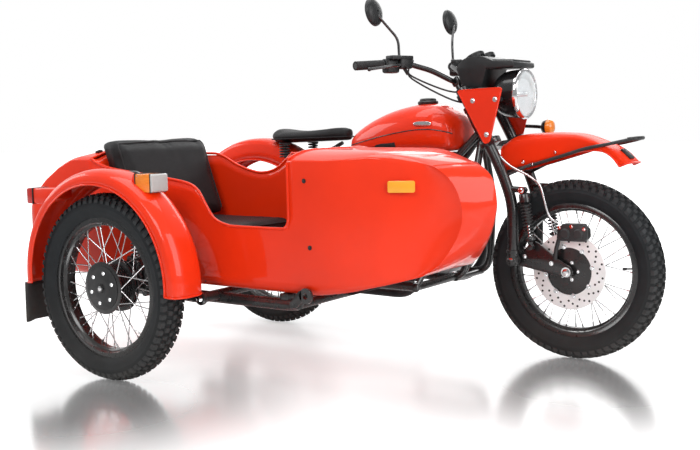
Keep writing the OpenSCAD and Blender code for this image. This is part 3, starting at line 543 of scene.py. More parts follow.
WHEEL_R, TYRE_W, BEAD_R, RIM_HW = 343, 108, 241, 36
SPOKES = 40


def crown(t):
    """Radius of the tread's surface at a distance from the tyre's middle."""
    return WHEEL_R - (66 - math.sqrt(66 ** 2 - min(abs(t), 60) ** 2)) * 0.86


def tyre(name, body):
    c = centre(name)
    g = Geo()
    side = [(BEAD_R + 4, 30), (BEAD_R + 12, 34), (BEAD_R + 20, 41), (BEAD_R + 26, 45.5),
            (BEAD_R + 28, 46.5),
            (BEAD_R + 30, 47.5), (BEAD_R + 42, 51.5), (BEAD_R + 54, 52.8), (BEAD_R + 56, 53.6),
            (BEAD_R + 58, 52.8),
            (BEAD_R + 66, 51.6), (BEAD_R + 74, 49)]
    top = [(crown(t) - 9, t) for t in range(44, -45, -8)]
    profile = side + top + [(r, -t) for r, t in reversed(side)]
    profile += [(BEAD_R + 2, -24), (BEAD_R + 2, 24)]
    g.lathe(profile, c, n=120)
    g.make(name + "_body", RUBBER, body, replaces=[name], sharp=50)
    t = Geo()
    rows = [(-47, 13, 24, 0.5, 10), (-29, 15, 20, 0.0, 0), (-10, 14, 22, 0.5, 4), (10, 14, 22, 0.0, -4),
            (29, 15, 20, 0.5, 0), (47, 13, 24, 0.0, -10)]
    count = 66
    for off, w, length, phase, skew in rows:
        arc = 2 * math.pi / count
        for i in range(count):
            mid = (i + phase) * arc
            half = length * 0.5 / WHEEL_R * (0.78 if i % 2 else 0.9)
            corners = []
            for lift in (0, 1):
                shrink = 0.88 if lift else 1.0
                for sx, sy in ((-1, -1), (1, -1), (1, 1), (-1, 1)):
                    y = off + sy * w / 2 * shrink
                    a = mid + sx * half * shrink + sy * skew / WHEEL_R * 0.3
                    r = crown(y) - 11 if not lift else crown(y) - (0.4 if abs(y) < 40 else 0)
                    corners.append(c + Vector((math.cos(a) * r, y, math.sin(a) * r)))
            t.add(corners, [(4, 5, 6, 7), (0, 1, 5, 4), (1, 2, 6, 5), (2, 3, 7, 6), (3, 0, 4, 7)])
    t.make(name + "_tread", TREAD, body, sharp=20)


def rim(node, hub_r, body):
    c = centre(node)
    g = Geo()
    lip = [(BEAD_R + 14, RIM_HW), (BEAD_R + 16, RIM_HW - 2), (BEAD_R + 14, RIM_HW - 4),
           (BEAD_R + 3, RIM_HW - 5),
           (BEAD_R, RIM_HW - 8), (BEAD_R - 1, 21), (BEAD_R - 9, 14)]
    outer = [(BEAD_R - 4, RIM_HW), (BEAD_R - 5, RIM_HW - 2), (BEAD_R - 5, 23), (BEAD_R - 9, 17),
             (BEAD_R - 16, 12)]
    profile = (lip + [(r, -t) for r, t in reversed(lip)] + [(r, -t) for r, t in outer]
               + [(r, t) for r, t in reversed(outer)])
    g.lathe(profile, c, n=128)
    g.make(node + "_hoop", BLACK, body, "rim_black", replaces=[node], sharp=50)
    s, nip = Geo(), Geo()
    for i in range(SPOKES):
        side = 1 if i % 2 == 0 else -1
        lean = math.radians(26 if (i // 2) % 2 == 0 else -26)
        a = 2 * math.pi * i / SPOKES
        foot = c + Vector((hub_r * math.cos(a + lean), side * 35, hub_r * math.sin(a + lean)))
        head = c + Vector(((BEAD_R - 15) * math.cos(a), side * 6, (BEAD_R - 15) * math.sin(a)))
        s.tube([foot, head], 2.0, n=8)
        d = (head - foot).normalized()
        nip.tube([head - d * 16, head + d * 3], 3.4, n=6)
    s.make(node + "_spokes", STEEL, body, sharp=60)
    nip.make(node + "_nipples", CHROME, body, sharp=60)


def drum_hub(node, body, face):
    """Hub with ribs, spoke flanges and a bolted cover on the side given by face."""
    c = centre(node)
    g = Geo()
    prof = [(12, -40), (60, -40), (88, -38), (95, -36), (95, -31), (90, -30), (84, -26)]
    for k in range(5):
        z = -22 + k * 11
        prof += [(80, z - 3), (84, z - 2), (84, z + 2), (80, z + 3)]
    prof += [(84, 26), (90, 30), (95, 31), (95, 36), (88, 38), (60, 40), (12, 40)]
    g.lathe(prof, c, n=72)
    g.make(node + "_drum", BLACK, body, "rim_black", replaces=[node])
    g, b = Geo(), Geo()
    s = face
    g.lathe([(13, 39 * s), (78, 39 * s), (80, 40.6 * s), (70, 41.5 * s), (66, 43.5 * s), (46, 44.5 * s),
             (42, 46 * s),
             (30, 46.5 * s), (13, 46.5 * s)], c, n=64)
    for k in range(6):
        a = 2 * math.pi * k / 6 + 0.3
        b.bolt(c + Vector((56 * math.cos(a), 43.4 * s, 56 * math.sin(a))), (0, s, 0), r=5, h=3.5)
    g.make(node + "_cover", SATIN, body, "rim_black")
    b.make(node + "_bolts", CHROME, body)


def wheels():
    ends = ("front", "rear", "sidecar")
    for end in ends:
        tyre(end + "_tyre", end + "_wheel")
    for end, hub_r in zip(ends, (57, 91, 91)):
        rim(end + "_rim", hub_r, end + "_wheel")
    drum_hub("rear_hub", "rear_wheel", 1)
    drum_hub("sidecar_hub", "sidecar_wheel", -1)
    for end in ends:
        c = centre(end + "_rim")
        d = Vector((math.cos(0.07), 0, math.sin(0.07)))
        valve = Geo()
        valve.tube([c + d * 228, c + d * 196], 3.2, n=10)
        valve.tube([c + d * 200, c + d * 186], 4.6, n=10)
        valve.make(end + "_rim_valve", GRIP, end + "_wheel", slot="")


def front_hub():
    """Front hub, with the disc's carrier on the sidecar's side."""
    c = centre("front_rim")
    g = Geo()
    g.lathe([(11, -39), (50, -39), (61, -38), (61, -32), (52, -30), (42, -22), (38, -8), (38, 8), (42, 22),
             (52, 30),
             (61, 32), (61, 38), (50, 39), (11, 39)], c, n=64)
    g.lathe([(11, -59), (44, -59), (60, -56.5), (98, -56), (99, -58.4), (99, -53.5), (88, -52), (62, -51),
             (46, -44),
             (42, -39), (11, -39)], c, n=64)
    g.make("front_hub_body", BLACK, "front_wheel", "rim_black", replaces=["front_hub"])
    d = Geo()
    d.lathe([(90, -64.5), (144, -64.5), (145, -63.5), (145, -60.5), (144, -59.5), (90, -59.5)], c, n=96)
    d.make("front_disc_ring", DISC, "front_wheel", replaces=["brake_disc"])
    b, h = Geo(), Geo()
    for k in range(8):
        a = 2 * math.pi * k / 8 + 0.2
        b.bolt(c + Vector((94.5 * math.cos(a), -64.4, 94.5 * math.sin(a))), (0, -1, 0), r=6.5, h=4.5)
    for k in range(5):
        a = 2 * math.pi * k / 5
        b.bolt(c + Vector((33 * math.cos(a), -58.8, 33 * math.sin(a))), (0, -1, 0), r=5, h=4)
    # Thin dark discs on the brake disc's face, one for each drilled hole: painted shade in place of holes cut
    # through
    for k in range(48):
        a = 2 * math.pi * k / 48
        r = 112 + 22 * ((k * 2 % 6) / 4)
        h.lathe([(0, -65.0), (4.2, -65.0), (4.2, -64.3), (0, -64.3)],
                c + Vector((r * math.cos(a), 0, r * math.sin(a))), n=10)
    b.make("front_disc_bolts", CHROME, "front_wheel")
    h.make("front_disc_hole_shade", HOLE_SHADE, "front_wheel")


# ---------------------------------------------------------------- fork and what turns with it

RAKE = math.radians(28)
HEAD = Vector((1100, 0, 827))
STEER_AXIS = Vector((-math.sin(RAKE), 0, math.cos(RAKE)))
STEER_TURN = Matrix.Rotation(-RAKE, 3, "Y")
PIVOT = Vector((1263.3, 0, 380))
SHOCK_TOP, SHOCK_FOOT = Vector((1309, 112, 649)), Vector((1338, 112, 433))
LEG_KNEE, LEG_LOW = Vector((1215, 112, 727)), Vector((1263.3, 112, 600))


def steered(x, y, z):
    """A point in the fork's own frame: x forward of the steering axis and z along it from the head's foot."""
    return HEAD + Vector((x * math.cos(RAKE) - z * math.sin(RAKE), y,
                          x * math.sin(RAKE) + z * math.cos(RAKE)))


def flip(p, s):
    """The point itself, or with s = -1 its mirror image across the motorcycle's middle plane."""
    return Vector((p[0], p[1] * s, p[2]))


def fork():
    g, bright = Geo(), Geo()
    outline = [(-20, -14), (6, -29), (26, -132), (40, -137), (92, -137), (100, -128), (100, -92), (90, -84),
               (56, -60),
               (46, 0), (56, 60), (90, 84), (100, 92), (100, 128), (92, 137), (40, 137), (26, 132), (6, 29),
               (-20, 14)]
    for z in (-43, 167):
        g.slab(outline, z, z + 24, 3, axis="z", at=HEAD, turn=STEER_TURN)
    g.tube([steered(0, 0, -44), steered(0, 0, 192)], 15.8, n=24)

    def side(s):
        path = [steered(53, 112, 195), LEG_KNEE, LEG_LOW, (PIVOT.x, 112, 362)]
        g.tube([flip(p, s) for p in path], 21.5, n=24, bend=60)
        g.lathe([(0, 0), (24, 0), (25, 3), (25, 26), (23, 30), (0, 30)], flip((PIVOT.x, 97, 380), s),
                (0, s, 0), n=28)
        for z in (330, 366):
            g.lathe([(21, 0), (25.5, 2), (25.5, 12), (21, 14)], flip((PIVOT.x, 112, z + 40), s), (0, 0, 1),
                    n=28)
        for p in (steered(53, 112, 190), steered(53, 112, -44)):
            g.lathe([(20, 0), (27, 2), (27, 20), (20, 22)], flip(p, s), STEER_AXIS, n=28)
        g.tube([flip(SHOCK_TOP + Vector((0, 4, 0)), s), flip((LEG_LOW.x, 112, 652), s)], 12, n=16)
        g.tube([flip((LEG_KNEE.x + 10, 106, LEG_KNEE.z - 27), s),
                flip((LEG_KNEE.x + 115, 82, LEG_KNEE.z + 19), s)], 6)
        g.box(flip((1262, 92, 655), s), (46, 30, 8), 2)
        bright.bolt(flip((PIVOT.x, 127, 380), s), (0, s, 0), r=11, h=7)
        bright.bolt(flip((SHOCK_TOP.x, 135, SHOCK_TOP.z), s), (0, s, 0), r=9, h=6)
        bright.bolt(flip((1330, 82.5, 746), s), (0, s, 0), r=5, h=4)
        for a in (-18, 12):
            bright.bolt(steered(92, s * 112 + a, -31), (math.cos(RAKE), 0, math.sin(RAKE)), r=5, h=4)
    both(side)
    bright.bolt(steered(0, 0, 192), STEER_AXIS, r=15, h=8)
    g.make("fork_legs", BLACK, "steering", replaces=["front_fork"])
    bright.make("fork_bolts", CHROME, "steering")


def links():
    g, bright = Geo(), Geo()
    outline = [(1241, 371), (1246, 366), (1263, 357), (1476, 320), (1487, 324), (1493, 334), (1492, 352),
               (1484, 362),
               (1430, 392), (1356, 446), (1344, 452), (1332, 451), (1318, 440), (1284, 402), (1263, 403),
               (1246, 395)]

    def side(s):
        g.slab(outline, 76.5 * s, 87.5 * s, 2.5)
        g.lathe([(0, 0), (20, 0), (20, 3), (14, 5), (0, 5)], flip((1470, 87, 343), s), (0, s, 0), n=24)
        bright.bolt(flip((1470, 92, 343), s), (0, s, 0), r=13, h=9)
        bright.bolt(flip((1300, 88, 392), s), (0, s, 0), r=6, h=4)
        bright.bolt(flip((1410, 88, 372), s), (0, s, 0), r=6, h=4)
    both(side)
    g.tube([(1470, -100, 343), (1470, 100, 343)], 9.8, n=20)
    g.tube([(1300, -77, 386), (1300, 77, 386)], 9, n=14)
    g.make("link_plates", BLACK, "steering", replaces=["leading_links"], sharp=40)
    bright.make("link_bolts", CHROME, "steering")


def shock(name, top, foot, body, r=22, replaces=()):
    """Coil-over shock absorber between two eyes."""
    a, b = Vector(top), Vector(foot)
    d = (b - a).normalized()
    length = (b - a).length
    g, s, ch = Geo(), Geo(), Geo()
    g.lathe([(0, -13), (r * 0.55, -11), (r * 0.55, 11), (0, 13)], a, (0, 1, 0), n=20)
    g.lathe([(0, -13), (r * 0.5, -11), (r * 0.5, 11), (0, 13)], b, (0, 1, 0), n=20)
    g.lathe([(0, 10), (r * 0.8, 12), (r * 0.98, 18), (r * 0.98, 46), (r * 0.72, 50), (r * 0.62, 54),
             (r * 0.62, length * 0.62), (0, length * 0.62)], a, d, n=28)
    g.lathe([(0, length - 34), (r * 0.92, length - 34), (r * 0.92, length - 26), (r * 0.5, length - 20),
             (r * 0.4, length - 8),
             (0, length - 8)], a, d, n=28)
    ch.tube([a + d * (length * 0.5), a + d * (length - 20)], r * 0.28, n=14)
    coil(a + d * 50, a + d * (length - 36), r * 0.84, r * 0.13, (length - 86) / (r * 0.55), s)
    g.make(name + "_body", BLACK, body, replaces=replaces)
    ch.make(name + "_rod", CHROME, body)
    s.make(name + "_spring", SATIN, body, sharp=60)


def front_shocks():
    shock("front_shock_left", SHOCK_TOP, SHOCK_FOOT, "steering", 22, replaces=["front_shocks"])
    shock("front_shock_right", flip(SHOCK_TOP, -1), flip(SHOCK_FOOT, -1), "steering", 22)


RIDGE = [(1198, 822), (1241, 851), (1317, 861), (1431, 863), (1516, 854), (1598, 822), (1650, 796),
         (1699, 751)]
HEM = [(1199, 716), (1241, 719), (1359, 750), (1464, 779), (1530, 795), (1600, 794), (1640, 772),
       (1668, 738)]


def front_fender():
    top, low = spline([(x, 0, z) for x, z in RIDGE], 6), spline([(x, 0, z) for x, z in HEM], 6)
    rows = []
    # The crown takes this share of the half section, and its edge lies this far down towards the hem
    share, drop = 0.62, 0.27
    for a, b in zip(top, low):
        row = []
        for k in range(-12, 13):
            t = k / 12
            w = 74.6 * power(math.sin(min(1, abs(t) / share) * math.pi / 2), 0.85) * math.copysign(1, t)
            if abs(t) > share:
                f = (abs(t) - share) / (1 - share)
                row.append(a.lerp(b, drop + (1 - drop) * f) + Vector((0, w, 0)))
            else:
                f = 1 - math.cos(min(1, abs(t) / share) * math.pi / 2)
                row.append(a.lerp(b, drop * f) + Vector((0, w, 0)))
        rows.append(row)
    g = Geo().grid(rows)
    g.make("front_fender_skin", FENDER_PAINT, "steering", replaces=["front_fender"], solid=2.5, sharp=60)
    e = Geo()
    for s in (0, -1):
        e.tube([r[s] for r in rows], 3.2, n=8, bend=0)
    e.tube(rows[-1], 3.2, n=8, bend=0)
    e.tube(rows[0], 3.2, n=8, bend=0)
    e.make("front_fender_bead", PAINT, "steering", sharp=60)
    # Rods along the hem, the guard round the front tip and its foot on the skin
    b, bolts = Geo(), Geo()
    for s in (1, -1):
        b.tube([(x, s * 79, z - 7) for x,
                z in ((1225, 722), (1359, 758), (1464, 788), (1540, 812), (1640, 829))]
               + [(1713, s * 46, 839)], 6.5, n=12, bend=40)
        for x, z in ((1290, 741), (1420, 776)):
            bolts.bolt((x, s * 76, z + 14), (0, s, 0), r=5, h=4)
    b.tube([(1690, -55, 836), (1716, -42, 839), (1722, 0, 840), (1716, 42, 839), (1690, 55, 836)], 7.2,
           n=12, bend=22)
    b.box((1671, 0, 782), (50, 40, 10), 3, turn=(0, 42, 0))
    b.make("fender_guard_rod", SATIN, "steering", replaces=["fender_guard"], sharp=60)
    bolts.make("front_fender_bolts", CHROME, "steering")


LAMP = Vector((1267, 0, 1013))


def headlamp():
    g, ring, lens, refl = Geo(), Geo(), Geo(), Geo()
    g.lathe([(0, -128), (20, -127.5), (40, -124), (60, -114), (76, -99), (86, -80), (91, -58), (93, -36),
             (94, -12),
             (94, -4), (88, -4), (88, -10), (0, -10)], LAMP, (1, 0, 0), n=72)
    ring.lathe([(94, -14), (97.5, -12), (98, -6), (96, 1), (92, 5), (88.5, 5), (87.5, 1), (90, -6)], LAMP,
               (1, 0, 0), n=96)
    lens.lathe([(0, 17), (20, 16.4), (40, 14.2), (58, 11), (74, 6.5), (86, 1.5), (88, -1), (86, -3),
                (60, 6), (30, 12),
                (0, 13)], LAMP, (1, 0, 0), n=72)
    refl.lathe([(10, -9.6), (30, -9.2), (60, -8.6), (84, -4), (87, -1.5), (87, -9.8), (10, -9.9)], LAMP,
               (1, 0, 0), n=64)
    bulb = Geo()
    bulb.lathe([(0, 7), (8, 6.5), (12, 2), (12, -9), (0, -9)], LAMP, (1, 0, 0), n=24)
    g.make("headlamp_shell", BLACK, "steering", "black_plastic", replaces=["headlamp"])
    ring.make("headlamp_ring", CHROME, "steering")
    refl.make("headlamp_reflector", CHROME, "steering")
    bulb.make("headlamp_bulb", STEEL, "steering")
    lens.make("headlamp_glass", GLASS, "steering", replaces=["headlamp_lens"])


def lamp_ears():
    """Plates that carry the headlamp, painted like the tank."""
    ears, bolts, pins = Geo(), Geo(), Geo()
    outline = [(1045, 1027), (1052, 1031), (1226, 1036), (1233, 1031), (1182, 838), (1174, 830),
               (1162, 827), (1155, 831)]

    def side(s):
        ears.slab(outline, 137.4 * s, 140.2 * s, 0)
        for p in (LAMP + Vector((-62, 0, -20)), Vector((1110, 0, 990)), Vector((1168, 0, 860))):
            bolts.bolt((p.x, 140 * s, p.z), (0, s, 0), r=7, h=5)
        pins.tube([(LAMP.x - 62, s * 74, LAMP.z - 20), (LAMP.x - 62, s * 137, LAMP.z - 20)], 9, n=16)
        ears.tube([(p[0], 138.8 * s, p[1]) for p in outline + outline[:1]], 2.4, n=8, bend=3)
    both(side)
    pins.make("headlamp_pins", SATIN, "steering", "black_plastic")
    ears.make("lamp_ear_plates", PAINT, "steering", replaces=["lamp_brackets"])
    bolts.make("lamp_ear_bolts", CHROME, "steering")


def instruments():
    g = Geo()
    outline = [(1038, 1041), (1062, 1038), (1120, 1041), (1142, 1112.5), (1256, 1112.5), (1262, 1118),
               (1260, 1132),
               (1250, 1138), (1170, 1142), (1128, 1160), (1112, 1163), (1060, 1160), (1040, 1152),
               (1014, 1126),
               (1012, 1116)]
    g.slab(outline, -91, 91, 7)
    g.box((1200, 0, 1140), (108, 150, 12), 5, turn=(0, 3, 0))
    dial, face = Geo(), Geo()
    tilt = turned(-28, "Y")
    up = tilt @ Vector((0, 0, 1))
    for y in (-44, 44):
        base = Vector((1074, y, 1152))
        dial.lathe([(0, 0), (40, 0), (41, 4), (41, 15), (38, 18), (35, 18), (35, 14), (0, 14)], base, up,
                   n=48)
        face.lathe([(0, 14.2), (34.5, 14.2), (34.5, 15.4), (0, 15.4)], base, up, n=40)
    g.make("instrument_housing", PLASTIC, "steering", replaces=["instrument_pod"])
    dial.make("instrument_rings", PLASTIC, "steering")
    face.make("instrument_faces", GLASS, "steering")


BAR_MID = steered(12, 0, 267)
HAND_IN, GRIP_OUT = Vector((838, 184, 1145)), Vector((754, 412, 1131))
BAR_WAY = (GRIP_OUT - HAND_IN).normalized()


def handlebar():
    g = Geo()
    path = [flip(p, -1) for p in (GRIP_OUT, HAND_IN, (914, 117, 1115), (BAR_MID.x, 62, BAR_MID.z))]
    path += [Vector((BAR_MID.x, 62, BAR_MID.z)), Vector((914, 117, 1115)), HAND_IN, GRIP_OUT]
    g.tube(path, 11, n=20, bend=28)
    for y in (-40, 40):
        g.tube([steered(12, y, 193), steered(12, y, 262)], 13, n=20)
        g.box(steered(12, y, 268), (34, 30, 34), 5, turn=(0, -28, 0))
    g.make("handlebar_tube", BLACK, "steering", replaces=["handlebar"])


def hand_controls():
    """Grips, switches, levers and mirrors of both hands."""
    controls, rubber, levers, glass = Geo(), Geo(), Geo(), Geo()

    def side(s):
        grip_in = GRIP_OUT - BAR_WAY * 134
        perch = grip_in - BAR_WAY * 92
        lever_root = grip_in - BAR_WAY * 45
        ridges = [(16.6 + (0.9 if k % 4 < 2 else 0), 4 + 128 * k / 64) for k in range(65)]
        prof = [(11.4, 4), *ridges, (17.6, 133), (16, 135), (11.4, 135)]
        rubber.lathe(prof, flip(grip_in, s), flip(BAR_WAY, s), n=28)
        controls.lathe([(11.5, 0), (19, 0), (21, 3), (21, 44), (18, 46), (18, 52), (21, 54), (21, 88),
                        (19, 92),
                        (11.5, 92)], flip(perch, s), flip(BAR_WAY, s), n=24)
        controls.box(flip(perch + BAR_WAY * 60 + Vector((3, 0, -9)), s), (46, 58, 54), 9,
                     turn=(0, 0, 20 * s))
        controls.box(flip(perch + BAR_WAY * 14 + Vector((20, 0, 2)), s), (44, 58, 50), 8,
                     turn=(0, 0, 20 * s))
        controls.box(flip(perch + BAR_WAY * 36 + Vector((22, 0, 22)), s), (46, 104, 16), 4,
                     turn=(0, 0, 20 * s))
        controls.tube([flip(perch + BAR_WAY * 20 + Vector((26, 0, -18)), s),
                       flip(perch + BAR_WAY * 8 + Vector((34, 0, -44)), s)],
                      7, n=12)
        controls.lathe([(0, 0), (9, 0), (11, 4), (11, 20), (0, 22)], flip(perch + Vector((30, -24, 8)), s),
                       flip((0, 1, 0), s), n=18)
        levers.tube([flip(p, s) for p in (lever_root + Vector((14, 2, -2)),
                                          lever_root + Vector((50, 16, -6)),
                                          grip_in + Vector((52, 30, -10)),
                                          GRIP_OUT + Vector((44, -30, -14)))],
                    5.6, n=12, bend=25)
        levers.ball(flip(GRIP_OUT + Vector((44, -30, -14)), s), (8, 8, 8), 14, 8)
        foot = grip_in - BAR_WAY * 78 + Vector((0, 0, 20))
        head = Vector((770, 297, 1341))
        levers.tube([flip(p, s) for p in (foot, foot + Vector((-4, 0, 75)), head + Vector((14, 0, -14)))],
                    5.4, n=12,
                    bend=26)
        levers.lathe([(0, 0), (10, 0), (10, 12), (6, 16), (0, 16)], flip(foot + Vector((0, 0, -3)), s),
                     (0, 0, 1), n=16)
        axis = Vector((math.sin(math.radians(80)), 0, math.cos(math.radians(80))))
        up = Vector((-axis.z, 0, axis.x))
        back = []
        for ring_r, depth in ((4, 17), (22, 16), (38, 12), (48, 5), (53, -2), (54, -8), (52, -10),
                              (50, -9)):
            back.append([flip(head + axis * depth + Vector((0, ring_r * 0.98 * math.cos(t), 0))
                              + up * ring_r * 1.02 * math.sin(t), s)
                         for t in circle(40)])
        controls.grid(back, close_u=True)
        face = [[flip(head + axis * -9 + Vector((0, r * math.cos(t), 0)) + up * r * 1.02 * math.sin(t), s)
                 for t in circle(40)] for r in (50.5, 30, 1)]
        glass.grid(face, close_u=True)
    both(side)
    rubber.make("grips", GRIP, "steering", replaces=["hand_controls"])
    controls.make("hand_switches", PLASTIC, "steering", replaces=["mirrors"])
    levers.make("levers_and_stems", BLACK, "steering")
    glass.make("mirror_glass", MIRROR, "steering")


def control_cables():
    cables = Geo()
    ends = ((1120, 88, 1010), (1142, 60, 960))
    for s, (end, drop) in ((1, (ends[0], 45)), (-1, (ends[0], 45)), (-1, (ends[1], 55))):
        start = flip(GRIP_OUT - BAR_WAY * 190 + Vector((34, 0, -6)), s)
        stop = flip(end, s)
        mid1 = start + Vector((30, -22 * s, -drop))
        mid2 = start.lerp(stop, 0.55) + Vector((10, 0, -drop * 0.8))
        cables.tube(spline([start, start + Vector((22, -8 * s, -14)), mid1, mid2,
                            stop + Vector((-30, 0, 14)), stop], 6),
                    3.4, n=8, bend=0)
    cables.make("control_cables", GRIP, "steering", sharp=60)


def front_signal():
    """Left signal only; the right one is on the sidecar."""
    amber, stalk = Geo(), Geo()
    c = Vector((1290, 150, 882))
    amber.lathe([(0, 26), (14, 25), (24, 21), (29, 14), (30, 4), (30, -2), (0, -2)], c, (1, 0, 0), n=32)
    stalk.lathe([(0, -25), (16, -24), (25, -18), (30.5, -6), (31, -1), (27, -1), (0, -3)], c, (1, 0, 0),
                n=32)
    stalk.tube([(1178, 146, 888), (1230, 150, 886), (1272, 150, 882)], 7.5, n=14, bend=40)
    stalk.lathe([(0, 0), (13, 0), (13, 6), (9, 9), (0, 9)], (1178, 140, 888), (0, 1, 0), n=18)
    amber.make("front_signal_lens", AMBER, "steering", replaces=["front_signal"])
    stalk.make("front_signal_stalk", BLACK, "steering", "black_plastic")


def caliper():
    g, b = Geo(), Geo()
    g.slab([(1432, 470), (1440, 460), (1542, 460), (1551, 470), (1551, 505), (1540, 520), (1508, 525),
            (1462, 524),
            (1436, 512)], -92, -71, 4)
    g.slab([(1436, 474), (1444, 462), (1538, 462), (1548, 476), (1546, 505), (1530, 518), (1452, 518)], -54,
           -36, 4)
    g.slab([(1440, 508), (1540, 508), (1532, 525), (1452, 524)], -84, -42, 4)
    for x in (1466, 1518):
        g.lathe([(0, 0), (20, 0), (20, 4), (15, 8), (0, 8)], (x, -91, 488), (0, -1, 0), n=28)
    g.tube([(1440, -82, 470), (1428, -84, 430), (1424, -86, 386)], 8, n=12)
    for x, z in ((1444, 510), (1541, 508), (1492, 516)):
        b.bolt((x, -92, z), (0, -1, 0), r=5, h=4)
    g.make("caliper_body", SATIN, "steering", "black_plastic", replaces=["brake_caliper"])
    b.make("caliper_bolts", CHROME, "steering")


def brake_hose():
    hose = Geo()
    hose.tube(spline([(1180, -96, 800), (1262, -132, 742), (1352, -140, 700), (1384, -132, 668),
                      (1398, -122, 612),
                      (1412, -108, 552), (1440, -96, 528)], 6), 4.6, n=10, bend=0)
    hose.make("brake_hose", STEEL, "steering", sharp=60)


# ---------------------------------------------------------------- motorcycle

def motorcycle_frame():
    g, b = Geo(), Geo()

    def side(s):
        g.tube([flip(p, s) for p in (steered(-20, 12, 10), (1075, 92, 600), (1055, 100, 330),
                                     (1010, 100, 290),
                                     (440, 100, 290), (395, 162, 310), (330, 162, 400), (270, 130, 740),
                                     (620, 60, 745), (960, 45, 745), steered(-20, 12, 45))], 15, n=18,
               bend=55)
        g.box((400, 96 * s, 338), (66, 14, 96), 4)
        b.bolt((400, 103 * s, 350), (0, s, 0), r=13, h=8)
        g.tube([flip(p, s) for p in ((262, 138, 736), (262, 172, 736))], 11, n=16)
        b.bolt((262, 183 * s, 736), (0, s, 0), r=9, h=6)
    both(side)
    g.lathe([(16.2, -15), (29, -15), (31, -13), (31, 5), (28, 9), (28, 140), (31, 144), (31, 162),
             (29, 163),
             (16.2, 163)], HEAD, STEER_AXIS, n=36)
    for x, z in ((1010, 290), (440, 290), (270, 740)):
        g.tube([(x, -110, z), (x, 110, z)], 12, n=14)
    g.box((615, 0, 768), (30, 118, 44), 4)
    g.box((935, 0, 768), (30, 88, 44), 4)
    g.box((247, 0, 735), (32, 58, 66), 4)
    g.make("frame_tubes", BLACK, replaces=["motorcycle_frame"])
    b.make("frame_bolts", CHROME)


def engine():
    g, dark, b = Geo(), Geo(), Geo()
    low = 305.3
    g.slab([(697, low + 12), (712, low), (972, low), (998, low + 40), (998, low + 228), (936, low + 294),
            (712, low + 294),
            (697, low + 270)], -102, 102, 12)
    g.slab([(720, low + 20), (960, low + 20), (985, low + 60), (985, low + 215), (928, low + 278),
            (730, low + 278)],
           -117, 117, 8)
    for s in (1, -1):
        g.lathe([(0, 100), (112, 100), (114, 104), (114, 116), (108, 118), (0, 118)], (858, 0, low + 128),
                (0, s, 0), n=56)
        for k in range(7):
            a = 2 * math.pi * k / 7
            b.bolt((858 + 101 * math.cos(a), 118 * s, low + 128 + 101 * math.sin(a)), (0, s, 0), r=5, h=3)
    g.slab([(501, low + 44), (560, low + 24), (702, low + 20), (702, low + 268), (566, low + 228),
            (501, low + 158)],
           -84, 84, 12)
    for x in range(520, 700, 30):
        g.slab([(x, low + 40), (x + 6, low + 40), (x + 6, low + 215), (x, low + 200)], -87, 87, 1.5)
    g.lathe([(0, 0), (60, 0), (70, 12), (74, 40), (74, 64), (0, 64)], (992, 0, low + 150), (1, 0, 0), n=48)
    for k in range(8):
        a = 2 * math.pi * k / 8
        b.bolt((1056, 58 * math.cos(a), low + 150 + 58 * math.sin(a)), (1, 0, 0), r=4.5, h=3)
    for k in range(9):
        dark.slab([(740 + 24 * k, low - 0.2), (748 + 24 * k, low - 0.2), (748 + 24 * k, low + 14),
                   (740 + 24 * k, low + 14)],
                  -100, 100, 1)
    g.tube([(900, 60, low + 280), (900, 60, low + 318)], 22, n=24)
    g.make("engine_cases", ALLOY, replaces=["engine"])
    dark.make("engine_ribs", ALLOY)
    b.make("engine_bolts", CHROME)


def cylinders():
    fins, cover, more = Geo(), Geo(), Geo()
    for s in (1, -1):
        base = Vector((850, 118.5 * s, 440))
        prof = [(0, 0), (66, 0)]
        for k in range(10):
            t = 6 + 15.5 * k
            r = 80 + (3 if 1 < k < 9 else 0)
            prof += [(64, t), (r - 1, t + 0.5), (r, t + 2.2), (r - 1, t + 4), (64, t + 5)]
        prof += [(64, 164), (0, 164)]
        fins.lathe(prof, base, (0, s, 0), n=64)
        cover.lathe([(0, 160), (78, 160), (81, 163), (81, 174), (79, 178), (80, 182), (80, 214), (76, 228),
                     (64, 242),
                     (48, 248), (0, 249.5)], base, (0, s, 0), n=56)
        cover.slab([(780, 424), (786, 418), (914, 418), (920, 424), (920, 456), (914, 462), (786, 462),
                    (780, 456)],
                   (118.5 + 236) * s, (118.5 + 250) * s, 3)
        for a in (0.6, 2.54, 3.74, 5.68):
            more.bolt(base + Vector((66 * math.cos(a), 234 * s, 66 * math.sin(a))), (0, s, 0), r=6, h=5)
    fins.make("cylinder_fins", ALLOY, replaces=["cylinders"], sharp=30)
    cover.make("rocker_covers", ALLOY)
    more.make("cylinder_bolts", CHROME)


def carburettors():
    carb = Geo()
    for s in (1, -1):
        carb.tube([flip(p, s) for p in ((696, 140, 480), (730, 186, 480), (800, 190, 480))], 21, n=20,
                  bend=25)
        carb.lathe([(0, -36), (24, -34), (29, -28), (29, -2), (24, 2), (20, 8), (26, 12), (30, 20),
                    (30, 62), (26, 70),
                    (12, 74), (0, 74)], flip((730, 190, 446), s), (0, 0, 1), n=32)
        carb.lathe([(0, 0), (25, 0), (27, 3), (27, 16), (23, 20), (0, 20)], flip((760, 190, 480), s),
                   (1, 0, 0), n=28)
    carb.make("carburettor_bodies", ALLOY, replaces=["carburettors"])


